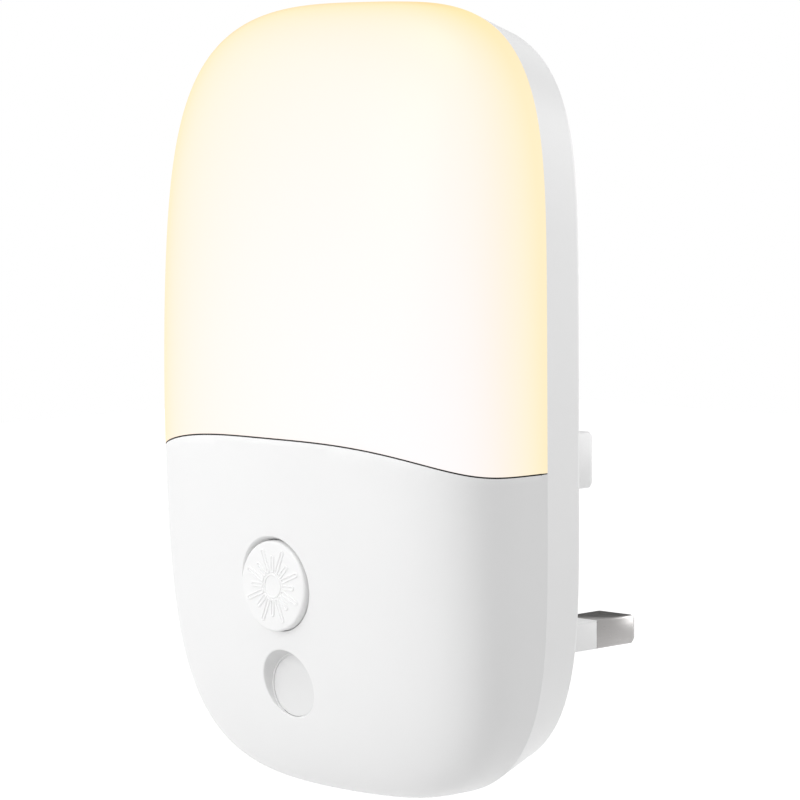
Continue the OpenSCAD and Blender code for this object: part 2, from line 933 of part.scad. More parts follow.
// Main circuit board with holes for its screws and for every lead.
module main_board() {
    leads = concat(film_leads, can_leads, varistor_leads, fusible_leads, bridge_leads,
                   tact_leads, sensor_leads);
    color("seagreen")
    difference() {
        slab(board_front_y, board_back_y)
            translate([-board_width / 2, board_bottom])
                square([board_width, board_height]);
        for (p = leads)
            bar(lead_hole_radius, board_front_y - 1, board_back_y + 1, p[0], p[1]);
        for (p = board_posts)
            bar(small_screw_radius + 0.2, board_front_y - 1, board_back_y + 1, p[0], p[1]);
    }
}

// Four screws of the main board.
module board_screws() {
    color("silver")
    for (p = board_posts)
        small_screw(p[0], p[1], board_front_y);
}

// Bridge rectifier on the back of the main board.
module bridge_rectifier() {
    body_y = board_back_y + 0.2;
    color("dimgray")
    union() {
        slab(body_y, body_y + bridge_size[2])
            rounded(-bridge_size[0] / 2, bridge_z - bridge_size[1] / 2,
                    bridge_size[0] / 2, bridge_z + bridge_size[1] / 2, 0.5);
        back_leads(bridge_leads, body_y + touch);
    }
}

// Boxed film capacitor of the dropper circuit.
module film_capacitor() {
    body_y = board_back_y + 0.3;
    color("gold")
    union() {
        slab(body_y, body_y + film_size[2])
            rounded(-film_size[0] / 2, film_z - film_size[1] / 2,
                    film_size[0] / 2, film_z + film_size[1] / 2, 0.6);
        back_leads(film_leads, body_y + touch);
    }
}

// Electrolytic capacitor with a crimped groove near its leads.
module electrolytic_capacitor() {
    body_y = board_back_y + 0.2;
    groove = 0.3;
    color("darkslategray")
    union() {
        translate([can_x, body_y, can_z])
            rotate([-90, 0, 0])
                rotate_extrude()
                    polygon([[0, 0], [can_radius - 0.2, 0], [can_radius, 0.2],
                             [can_radius, 1], [can_radius - groove, 1.3], [can_radius, 1.6],
                             [can_radius, can_length - 0.4], [can_radius - 0.4, can_length],
                             [0, can_length]]);
        back_leads(can_leads, body_y + touch);
    }
}

// Disc varistor that stands on its leads.
module varistor() {
    middle_y = board_back_y + 1 + varistor_radius;
    color("steelblue")
    union() {
        translate([varistor_x, middle_y, varistor_z - varistor_depth / 2])
            cylinder(r = varistor_radius, h = varistor_depth);
        back_leads(varistor_leads, middle_y);
    }
}

// Fusible resistor that lies along X, on bent leads.
module fusible_resistor() {
    middle_y = board_back_y + fusible_radius + 0.4;
    span = fusible_leads[0][0];
    color("tan")
    union() {
        translate([-fusible_length / 2, middle_y, fusible_z])
            rotate([0, 90, 0])
                cylinder(r = fusible_radius, h = fusible_length);
        translate([-span - lead_radius, middle_y, fusible_z])
            rotate([0, 90, 0])
                cylinder(r = lead_radius, h = 2 * (span + lead_radius));
        back_leads(fusible_leads, middle_y);
    }
}

// LED driver chip with four legs on each side.
module controller_chip() {
    standoff = 0.15;
    color("dimgray")
    union() {
        slab(board_front_y - standoff - chip_size[2], board_front_y - standoff)
            plate_shape(chip_x, chip_z, chip_size[0], chip_size[1]);
        for (side = [-1, 1], k = [-1.5 : 1.5])
            slab(board_front_y - standoff - chip_leg[2], board_front_y)
                plate_shape(chip_x + side * (chip_size[0] + chip_leg[0]) / 2 - side * touch,
                            chip_z + k * chip_pitch, chip_leg[0], chip_leg[1]);
    }
}

// Small chip resistors and capacitors on the front of the main board.
module chip_resistors() {
    color("dimgray")
    for (p = resistor_places)
        slab(board_front_y - resistor_size[2], board_front_y)
            plate_shape(p[0], p[1], resistor_size[0], resistor_size[1]);
}

// Round headed light sensor on two leads, behind its window.
module light_sensor() {
    back = sensor_front_y + sensor_length;
    color("lightcyan")
    union() {
        bar(sensor_radius, sensor_front_y + sensor_radius, back, 0, sensor_z);
        translate([0, sensor_front_y + sensor_radius, sensor_z])
            sphere(r = sensor_radius);
        bar(sensor_flange_radius, back - 1, back, 0, sensor_z);
        for (p = sensor_leads)
            bar(lead_radius, back - touch, board_back_y + lead_tail, p[0], p[1]);
    }
}

// Translucent disc seated behind the recess in the front cover.
module sensor_window() {
    color("gainsboro")
    slab(window_y, window_y + window_depth) {
        window_rim(0);
        translate([0, sensor_z])
            circle(window_radius - slip);
    }
}

// Base of the tact switch, with the well for its snap dome and plunger.
module tact_switch_base() {
    color("black")
    difference() {
        slab(tact_body_y, board_front_y)
            plate_shape(0, button_z, tact_size, tact_size);
        bar(tact_cavity_radius, tact_body_y - 1, tact_floor_y, 0, button_z);
    }
}

// Metal frame over the tact switch, with two folded flaps.
module tact_switch_frame() {
    flap = 0.25;
    flap_z = (tact_size + flap) / 2;
    color("silver")
    difference() {
        union() {
            slab(tact_front_y, tact_body_y)
                plate_shape(0, button_z, tact_size, tact_size + 2 * flap);
            for (side = [-1, 1])
                slab(tact_body_y - touch, tact_body_y + 1.6)
                    plate_shape(0, button_z + side * flap_z, tact_size - 2, flap);
        }
        bar(plunger_radius + plunger_slip, tact_front_y - 1, tact_body_y + 1, 0, button_z);
    }
}

// Four legs of the tact switch.
module tact_switch_legs() {
    color("silver")
    for (p = tact_leads)
        slab(board_front_y - 1.2, board_back_y + lead_tail)
            plate_shape(p[0], p[1], tact_leg[0], tact_leg[1]);
}

// Snap dome on the floor of the tact switch: a thin metal cone with a flat top.
module tact_switch_dome() {
    color("gold")
    translate([0, tact_floor_y, button_z])
        rotate([90, 0, 0])
            rotate_extrude()
                polygon([[0, snap_rise], [snap_top_radius, snap_rise], [snap_radius - 0.3, 0],
                         [snap_radius, 0], [snap_top_radius, snap_rise + snap_depth],
                         [0, snap_rise + snap_depth]]);
}

// Plunger of the tact switch, held under the frame by its flange.
module tact_switch_plunger() {
    color("saddlebrown")
    union() {
        bar(plunger_radius, plunger_front_y, plunger_flange_y + touch, 0, button_z);
        bar(plunger_flange_radius, plunger_flange_y, plunger_flange_y + plunger_flange_depth,
            0, button_z);
    }
}

// Bar with round ends that points up, for one ray of the sun
module ray_bar(start, end, radius) {
    translate([-radius, start])
        square([2 * radius, end - start]);
    translate([0, start])
        circle(radius);
    translate([0, end])
        circle(radius);
}

// Raised sun, seen from the front
module sun() {
    inner = button_radius * sun_ring - sun_line;
    difference() {
        circle(inner + sun_line);
        circle(inner);
    }
    for (k = [0 : sun_rays - 1]) {
        start = button_radius * sun_ray_start;
        end = button_radius * (k % 2 == 0 ? sun_short_ray : sun_long_ray);
        rotate(360 * k / sun_rays)
            difference() {
                ray_bar(start, end, sun_ray_width / 2);
                ray_bar(start, end, sun_ray_width / 2 - sun_line);
            }
    }
}

// Button cap with a flange behind its guide, a stem to the plunger and a raised sun.
module button_cap() {
    roof = 1.4;
    edge = 0.35;
    depth = button_skirt;
    back = depth + button_flange_depth;
    bore = button_radius - 1.2;
    color("white")
    translate([0, button_face_y, button_z]) {
        rotate([-90, 0, 0])
            rotate_extrude()
                polygon(concat(
                    [[0, 0], [button_radius - edge, 0]],
                    [for (a = [15 : 15 : 75])
                        [button_radius - edge * (1 - sin(a)), edge * (1 - cos(a))]],
                    [[button_radius, edge], [button_radius, depth],
                     [button_flange_radius, depth], [button_flange_radius, back],
                     [bore, back], [bore, roof], [stem_radius, roof],
                     [stem_radius, plunger_front_y - slip - button_face_y],
                     [0, plunger_front_y - slip - button_face_y]]));
        rotate([90, 0, 0])
            translate([0, 0, -touch])
                linear_extrude(sun_height + touch)
                    sun();
    }
}

// LED board with holes for its two screws.
module led_board() {
    color("whitesmoke")
    difference() {
        slab(led_board_front_y, led_board_back_y)
            translate([-led_board_width / 2, led_board_bottom])
                square([led_board_width, led_board_height]);
        for (z = led_screws_z)
            bar(small_screw_radius + 0.2, led_board_front_y - 1, led_board_back_y + 1, 0, z);
    }
}

// LED chips, each with a round well for its phosphor.
module leds() {
    color("khaki")
    for (place = led_places())
        difference() {
            slab(led_board_front_y - led_height, led_board_front_y)
                plate_shape(place[0], place[1], led_size, led_size);
            bar(led_size * 0.4, led_board_front_y - led_height - 1,
                led_board_front_y - led_height * 0.7, place[0], place[1]);
        }
}

// Two screws that hold the reflector tray and the LED board on their posts.
module led_board_screws() {
    color("silver")
    for (z = led_screws_z)
        small_screw(0, z, tray_back_y - tray_floor);
}

// Four case screws, from the back into the bosses of the front shells.
module case_screws() {
    color("silver")
    for (side = [-1, 1]) {
        case_screw(side * cover_screw_x, cover_screw_z);
        case_screw(side * diffuser_screw_x, diffuser_screw_z);
    }
}

rear_housing();
front_cover();
diffuser();
light_baffle();
reflector_tray();
rating_label();
earth_pin();
live_pin();
neutral_pin();
live_pin_sleeve();
neutral_pin_sleeve();
pin_retainer();
retainer_screws();
live_terminal();
neutral_terminal();
live_wire();
neutral_wire();
main_board();
board_screws();
bridge_rectifier();
film_capacitor();
electrolytic_capacitor();
fusible_resistor();
varistor();
controller_chip();
chip_resistors();
light_sensor();
sensor_window();
tact_switch_base();
tact_switch_frame();
tact_switch_legs();
tact_switch_dome();
tact_switch_plunger();
button_cap();
led_board();
leds();
led_board_screws();
led_wire_positive();
led_wire_negative();
case_screws();
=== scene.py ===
"""Looks of a plug in night light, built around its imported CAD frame.

Sizes inside the classes are in millimetres, as in the part's own source, and a mesh is made in metres.
X runs to the right, Y to the back along the plug's pins, and Z up. The origin is on the plug's face.
"""
import json
import logging
import math
from dataclasses import dataclass
from enum import Enum
from itertools import pairwise
from typing import Callable, Sequence

import bmesh
import bpy
import numpy as np
from mathutils import Matrix, Vector
from mathutils.geometry import delaunay_2d_cdt


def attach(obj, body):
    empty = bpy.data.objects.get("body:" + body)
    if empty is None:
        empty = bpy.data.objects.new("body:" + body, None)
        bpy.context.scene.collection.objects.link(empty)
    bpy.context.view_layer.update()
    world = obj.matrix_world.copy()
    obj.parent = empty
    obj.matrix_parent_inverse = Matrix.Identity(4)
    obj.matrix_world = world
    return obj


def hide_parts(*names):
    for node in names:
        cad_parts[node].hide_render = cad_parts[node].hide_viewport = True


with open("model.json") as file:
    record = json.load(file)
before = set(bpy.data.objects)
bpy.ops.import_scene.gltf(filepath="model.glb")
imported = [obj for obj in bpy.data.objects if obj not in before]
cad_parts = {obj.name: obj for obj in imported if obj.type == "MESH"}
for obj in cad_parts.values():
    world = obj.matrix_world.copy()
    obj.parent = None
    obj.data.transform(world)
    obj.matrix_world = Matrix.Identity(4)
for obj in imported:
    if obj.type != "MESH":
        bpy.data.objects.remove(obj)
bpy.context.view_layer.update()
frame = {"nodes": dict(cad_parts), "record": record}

MM = 0.001
SAME_PLACE = 0.0015  # corners nearer than this are merged
SEAM_NEAR = 0.05  # how near a corner lies to the seam's edge, if it is on it
SAME_LEVEL = 0.01  # how near a face lies to a level, if it is on it
ROUNDING = 1e-6  # what a corner's place may be off by
OVERRUN = 1.0  # how far a tool reaches past the skin that it cuts
OUTLINE_SAMPLES = 40001
SIDE_SAMPLES = 4001
CASE_WELLS = ((21.7, 14.5), (16.98, 74.975))  # X and Z of the screws, which stand in pairs
CASING = "casing"
BUTTON = "button"
log = logging.getLogger("night_light")

Colour = tuple[float, float, float]
Point = tuple[float, float, float]


class Join(Enum):
    """What a tool does to the piece that it is put against."""

    CUT = "DIFFERENCE"
    WELD = "UNION"


# ---------------------------------------------------------------- modelling by hand


class Bench:
    """Blender's modelling operators, used on one piece at a time."""

    @staticmethod
    def clear() -> None:
        """Leaves edit mode and deselects everything."""
        if bpy.context.object is not None and bpy.context.object.mode != "OBJECT":
            bpy.ops.object.mode_set(mode="OBJECT")
        bpy.ops.object.select_all(action="DESELECT")

    @staticmethod
    def take(*pieces: bpy.types.Object) -> None:
        """Selects only these pieces and makes the first one active.

        Args:
            pieces: the objects to select.
        """
        Bench.clear()
        for piece in pieces:
            piece.select_set(True)
        bpy.context.view_layer.objects.active = pieces[0]

    @staticmethod
    def settle(name: str) -> bpy.types.Object:
        """Names the new primitive and moves its place into its mesh.

        Args:
            name: the piece's name.

        Returns:
            The piece, with its origin at the frame's origin.
        """
        piece = bpy.context.object
        piece.name = piece.data.name = name
        bpy.ops.object.transform_apply(location=True, rotation=True, scale=True)
        return piece

    @staticmethod
    def box(name: str, low: Point, high: Point) -> bpy.types.Object:
        """Adds a block between two corners.

        Args:
            name: the piece's name.
            low: its lowest corner in millimetres.
            high: its highest corner in millimetres.

        Returns:
            The block.
        """
        Bench.clear()
        centre = [(a + b) / 2 * MM for a, b in zip(low, high)]
        size = [(b - a) * MM for a, b in zip(low, high)]
        bpy.ops.mesh.primitive_cube_add(size=1, location=centre)
        bpy.context.object.scale = size
        return Bench.settle(name)

    @staticmethod
    def modify(piece: bpy.types.Object, kind: str, **settings: object) -> None:
        """Adds a modifier and applies it.

        Args:
            piece: the object to change.
            kind: the modifier's type.
            settings: values for the modifier's properties.
        """
        Bench.take(piece)
        modifier = piece.modifiers.new(kind.lower(), kind)
        for key, value in settings.items():
            setattr(modifier, key, value)
        bpy.ops.object.modifier_apply(modifier=modifier.name)

    @staticmethod
    def join(piece: bpy.types.Object, *others: bpy.types.Object) -> bpy.types.Object:
        """Makes one object of several, in the first one's name.

        Args:
            piece: the object that stays.
            others: the objects that become part of it.

        Returns:
            The joined object.
        """
        Bench.take(piece, *others)
        if others:
            bpy.ops.object.join()
        return piece

    @staticmethod
    def combine(piece: bpy.types.Object, tool: bpy.types.Object, how: Join) -> None:
        """Cuts a tool out of a piece or welds it on, and puts the tool away.

        Args:
            piece: the object to change.
            tool: a closed object.
            how: whether the tool cuts or is welded on.
        """
        Bench.modify(piece, "BOOLEAN", object=tool, operation=how.value, solver="MANIFOLD")
        bpy.data.objects.remove(tool, do_unlink=True)

    @staticmethod
    def round_edges(piece: bpy.types.Object, width: float, steps: int = 3, degrees: float = 40) -> None:
        """Rounds every sharp edge of a piece.

        Args:
            piece: the object to change.
            width: the rounding's width in millimetres.
            steps: how many faces go across it.
            degrees: the angle from which an edge is sharp.
        """
        Bench.modify(piece, "BEVEL", width=width * MM, segments=steps, limit_method="ANGLE",
                     angle_limit=math.radians(degrees))

    @staticmethod
    def face_along(piece: bpy.types.Object, side: int) -> None:
        """Turns a sheet over if most of it doesn't look to this side along Y.

        Args:
            piece: an open surface.
            side: 1 for the back and -1 for the front.
        """
        if side * sum(face.normal.y * face.area for face in piece.data.polygons) < 0:
            piece.data.flip_normals()

    @staticmethod
    def add_slots(piece: bpy.types.Object, *purposes: str) -> None:
        """Adds an empty material slot for each purpose, so that faces can be told apart."""
        for _ in purposes:
            piece.data.materials.append(None)

    @staticmethod
    def smooth(piece: bpy.types.Object, degrees: float = 35) -> bpy.types.Object:
        """Shades a piece smooth, apart from its sharp edges.

        Args:
            piece: the object to shade.
            degrees: the angle from which an edge stays sharp.

        Returns:
            The same piece.
        """
        Bench.take(piece)
        bpy.ops.object.shade_smooth_by_angle(angle=math.radians(degrees))
        return piece

    @staticmethod
    def select(piece: bpy.types.Object, test: Callable[[Vector], bool], faces: bool = False) -> None:
        """Enters edit mode with the chosen corners, edges or faces selected.

        Args:
            piece: the object to edit.
            test: says for a point in millimetres whether it is chosen.
            faces: whether faces are chosen by their middle, and not corners by their place.
        """
        Bench.take(piece)
        bpy.ops.object.mode_set(mode="EDIT")
        bpy.ops.mesh.select_mode(type="FACE" if faces else "VERT")
        bpy.ops.mesh.select_all(action="DESELECT")
        sheet = bmesh.from_edit_mesh(piece.data)
        for item in sheet.faces if faces else sheet.verts:
            place = item.calc_center_median() if faces else item.co
            item.select_set(bool(test(place / MM)))
        sheet.select_flush(not faces)
        bmesh.update_edit_mesh(piece.data)

    @staticmethod
    def turn(name: str, profile: Sequence[tuple[float, float]], x: float, z: float,
             sides: int = 64) -> bpy.types.Object:
        """Makes a round closed piece along Y: a circle, extruded and widened from ring to ring.

        Args:
            name: the piece's name.
            profile: radius and Y of each ring in millimetres.
            x: where its axis stands along X.
            z: where its axis stands along Z.
            sides: how many sides its circles have.

        Returns:
            The closed piece.
        """
        Bench.clear()
        radius, level = profile[0]
        bpy.ops.mesh.primitive_circle_add(vertices=sides, radius=radius * MM, rotation=(math.pi / 2, 0, 0),
                                          location=(x * MM, level * MM, z * MM))
        piece = Bench.settle(name)
        bpy.ops.object.mode_set(mode="EDIT")
        bpy.ops.mesh.select_all(action="SELECT")
        bpy.ops.mesh.edge_face_add()
        bpy.ops.mesh.select_mode(type="EDGE")
        for (r0, y0), (r1, y1) in pairwise(profile):
            bpy.ops.mesh.extrude_edges_move(TRANSFORM_OT_translate={"value": (0, (y1 - y0) * MM, 0)})
            bpy.ops.transform.resize(value=(r1 / r0, 1, r1 / r0),
                                     center_override=(x * MM, y1 * MM, z * MM))
        bpy.ops.mesh.edge_face_add()
        bpy.ops.mesh.select_all(action="SELECT")
        bpy.ops.mesh.normals_make_consistent(inside=False)
        bpy.ops.object.mode_set(mode="OBJECT")
        return piece


def add_object(name: str, data: bpy.types.ID) -> bpy.types.Object:
    """Puts a new object in the scene.

    Args:
        name: its name.
        data: its mesh, lamp or camera.

    Returns:
        The object.
    """
    made = bpy.data.objects.new(name, data)
    bpy.context.scene.collection.objects.link(made)
    return made


def direction(azimuth: float, elevation: float) -> Vector:
    """Points out from the object.

    Args:
        azimuth: degrees from straight in front of it towards its right.
        elevation: degrees above the level.

    Returns:
        A vector of length 1.
    """
    a, e = math.radians(azimuth), math.radians(elevation)
    return Vector((math.sin(a) * math.cos(e), -math.cos(a) * math.cos(e), math.sin(e)))


def lay_mesh(name: str, points: np.ndarray, faces: Sequence[Sequence[int]]) -> bpy.types.Object:
    """Makes a surface of points that a formula has placed, and closes its seams.

    Args:
        name: the piece's name.
        points: places in millimetres, one row each.
        faces: the points of each face.

    Returns:
        The piece, with its faces pointing away from its middle.
    """
    mesh = bpy.data.meshes.new(name)
    mesh.from_pydata((points * MM).tolist(), [], [list(face) for face in faces])
    piece = add_object(name, mesh)
    Bench.take(piece)
    bpy.ops.object.mode_set(mode="EDIT")
    bpy.ops.mesh.select_all(action="SELECT")
    bpy.ops.mesh.remove_doubles(threshold=SAME_PLACE * MM)
    bpy.ops.mesh.normals_make_consistent(inside=False)
    bpy.ops.object.mode_set(mode="OBJECT")
    return piece


def grid_faces(rows: int, columns: int, closed: bool, start: int = 0) -> list[tuple[int, ...]]:
    """Faces between rings of points that lie in order.

    Args:
        rows: how many rings there are.
        columns: how many points a ring has.
        closed: whether each ring's last point joins its first.
        start: the number of the first point.

    Returns:
        Four points for each face.
    """
    last = columns if closed else columns - 1
    return [(start + r * columns + c, start + r * columns + (c + 1) % columns,
             start + (r + 1) * columns + (c + 1) % columns, start + (r + 1) * columns + c)
            for r in range(rows - 1) for c in range(last)]


def root(low: np.ndarray, high: np.ndarray, rising: Callable[[np.ndarray], np.ndarray]) -> np.ndarray:
    """Finds where a rising function passes zero, by halving.

    Args:
        low: values at which it is below zero.
        high: values at which it is above zero.
        rising: the function.

    Returns:
        The value at which it passes zero, or the nearer end where it doesn't.
    """
    for _ in range(52):
        middle = (low + high) / 2
        above = rising(middle) > 0
        low, high = np.where(above, low, middle), np.where(above, middle, high)
    return (low + high) / 2


def run_length(x: np.ndarray, y: np.ndarray) -> np.ndarray:
    """Distance along a curve from its first point to each of its points."""
    return np.concatenate([[0], np.cumsum(np.hypot(np.diff(x), np.diff(y)))])


def even_steps(x: np.ndarray, y: np.ndarray, values: np.ndarray, step: float) -> np.ndarray:
    """Spaces a curve's values so that the points that they give lie evenly along it.

    Args:
        x: first coordinate of a fine run of points on the curve.
        y: second coordinate of them.
        values: the value that gives each point.
        step: the distance wanted between two points.

    Returns:
        The values of evenly spaced points, with both ends.
    """
    run = run_length(x, y)
    count = max(2, round(run[-1] / step))
    return np.interp(np.linspace(0, run[-1], count + 1), run, values)


# ---------------------------------------------------------------- form of the casing


@dataclass(frozen=True)
class CasingForm:
    """Outline, crown and seam of the casing. Heights are counted from the casing's centre."""

    width: float = 60.0
    height: float = 105.0
    dome: float = 21.2
    rim_y: float = -17.5
    back_y: float = -9.5
    centre_z: float = 33.5
    side_power: float = 3.2
    end_power: float = 5.5
    side_root: float = 4.6
    end_root: float = 3.75
    seam_level: float = -4.0
    seam_drop: float = 4.2
    back_taper: float = 0.957
    shell_wall: float = 1.8
    housing_wall: float = 2.2

    def half_width(self, z: np.ndarray, trim: float = 0.0, share: float = 1.0) -> np.ndarray:
        """Half width of the outline at a height.

        Args:
            z: heights above the casing's centre.
            trim: how much is taken off all round.
            share: the outline's size as a share of the front edge's.

        Returns:
            The half widths, and 0 past the outline's ends.
        """
        half_height = self.height / 2 * share - trim
        rest = np.maximum(0, 1 - np.abs(z / half_height) ** self.end_power)
        return (self.width / 2 * share - trim) * rest ** (1 / self.side_power)

    def front_y(self, x: np.ndarray, z: np.ndarray) -> np.ndarray:
        """Y of the crowned front at places seen from the front.

        Args:
            x: places along X.
            z: heights above the casing's centre.

        Returns:
            Their Y.
        """
        half = np.maximum(self.half_width(z), 1e-9)
        across = np.maximum(0, 1 - np.minimum(1, np.abs(x) / half) ** 2) ** (1 / self.side_root)
        along = np.maximum(0, 1 - (2 * z / self.height) ** 2) ** (1 / self.end_root)
        return self.rim_y - self.dome * across * along

    def behind(self, x: np.ndarray, z: np.ndarray, depth: float, step: float = 0.01) -> np.ndarray:
        """Points under the crowned front, at a depth that is measured square to it.

        Args:
            x: places along X.
            z: heights above the casing's centre.
            depth: how deep the points lie.
            step: how far to each side the slope is taken.

        Returns:
            Three coordinates for each place.
        """
        slope_x = (self.front_y(x + step, z) - self.front_y(x - step, z)) / (2 * step)
        slope_z = (self.front_y(x, z + step) - self.front_y(x, z - step)) / (2 * step)
        size = np.sqrt(1 + slope_x ** 2 + slope_z ** 2)
        return np.stack([x - slope_x / size * depth, self.front_y(x, z) + depth / size,
                         z - slope_z / size * depth], axis=1)

    def seam_z(self, x: np.ndarray) -> np.ndarray:
        """Height of the seam above the casing's centre, at places along X."""
        return self.seam_level - self.seam_drop * np.abs(2 * x / self.width) ** 3


FORM = CasingForm()


@dataclass(frozen=True)
class Hollow:
    """Round hollow in the front: a bore whose mouth opens out through the crown."""

    z: float
    radius: float
    level: float
    patch: float
    bore: tuple[tuple[float, float], ...]
    wall_share: float = 1.0
    flare: float = 0.35
    blend: float = 0.3
    lip_inside: float = 0.45
    lip_outside: float = 0.7
    sides: int = 96

    def distance(self, place: Vector) -> float:
        """How far a place in the frame is from the hollow's axis."""
        return math.hypot(place.x, place.z - FORM.centre_z - self.z)

    def surface(self, r: np.ndarray, front: np.ndarray) -> np.ndarray:
        """Y of the mouth's cone where it lies behind the front, with a rounded lip.

        Args:
            r: distances from the hollow's axis.
            front: Y of the crowned front there.

        Returns:
            Y of the surface.
        """
        cone = self.level - np.maximum(0, r - self.radius) / self.flare
        mix = np.clip(0.5 + 0.5 * (front - cone) / self.blend, 0, 1)
        return cone * (1 - mix) + front * mix + self.blend * mix * (1 - mix)

    def rings(self) -> np.ndarray:
        """Rings of points from the crown around the mouth to the bore's far end.

        Returns:
            An array of rings by sides by three coordinates, with heights from the casing's centre.
        """
        turn = 2 * math.pi * np.arange(self.sides) / self.sides

        def gap(r: np.ndarray) -> np.ndarray:
            """How far the front lies behind the cone."""
            front = FORM.front_y(r * np.cos(turn), self.z + r * np.sin(turn))
            return front - self.level + (r - self.radius) / self.flare

        lip = root(np.full(self.sides, self.radius), np.full(self.sides, self.patch), gap)
        outer = lip + self.lip_outside * self.flare
        inner = np.maximum(self.radius, lip - self.lip_inside * self.flare)
        radii = [self.patch + (outer - self.patch) * t for t in (0, 0.25, 0.5, 0.75)]
        radii += [outer + (inner - outer) * t for t in np.linspace(0, 1, 9)]
        radii += [inner + (self.radius - inner) * t for t in (0.34, 0.67, 1)]
        rings = []
        for r, front_most in [*((r, -math.inf) for r in radii), *self.bore]:
            x, z = r * np.cos(turn), self.z + r * np.sin(turn)
            y = np.maximum(front_most, self.surface(r, FORM.front_y(x, z)))
            rings.append(np.stack([x, y, z], axis=1))
        return np.array(rings)


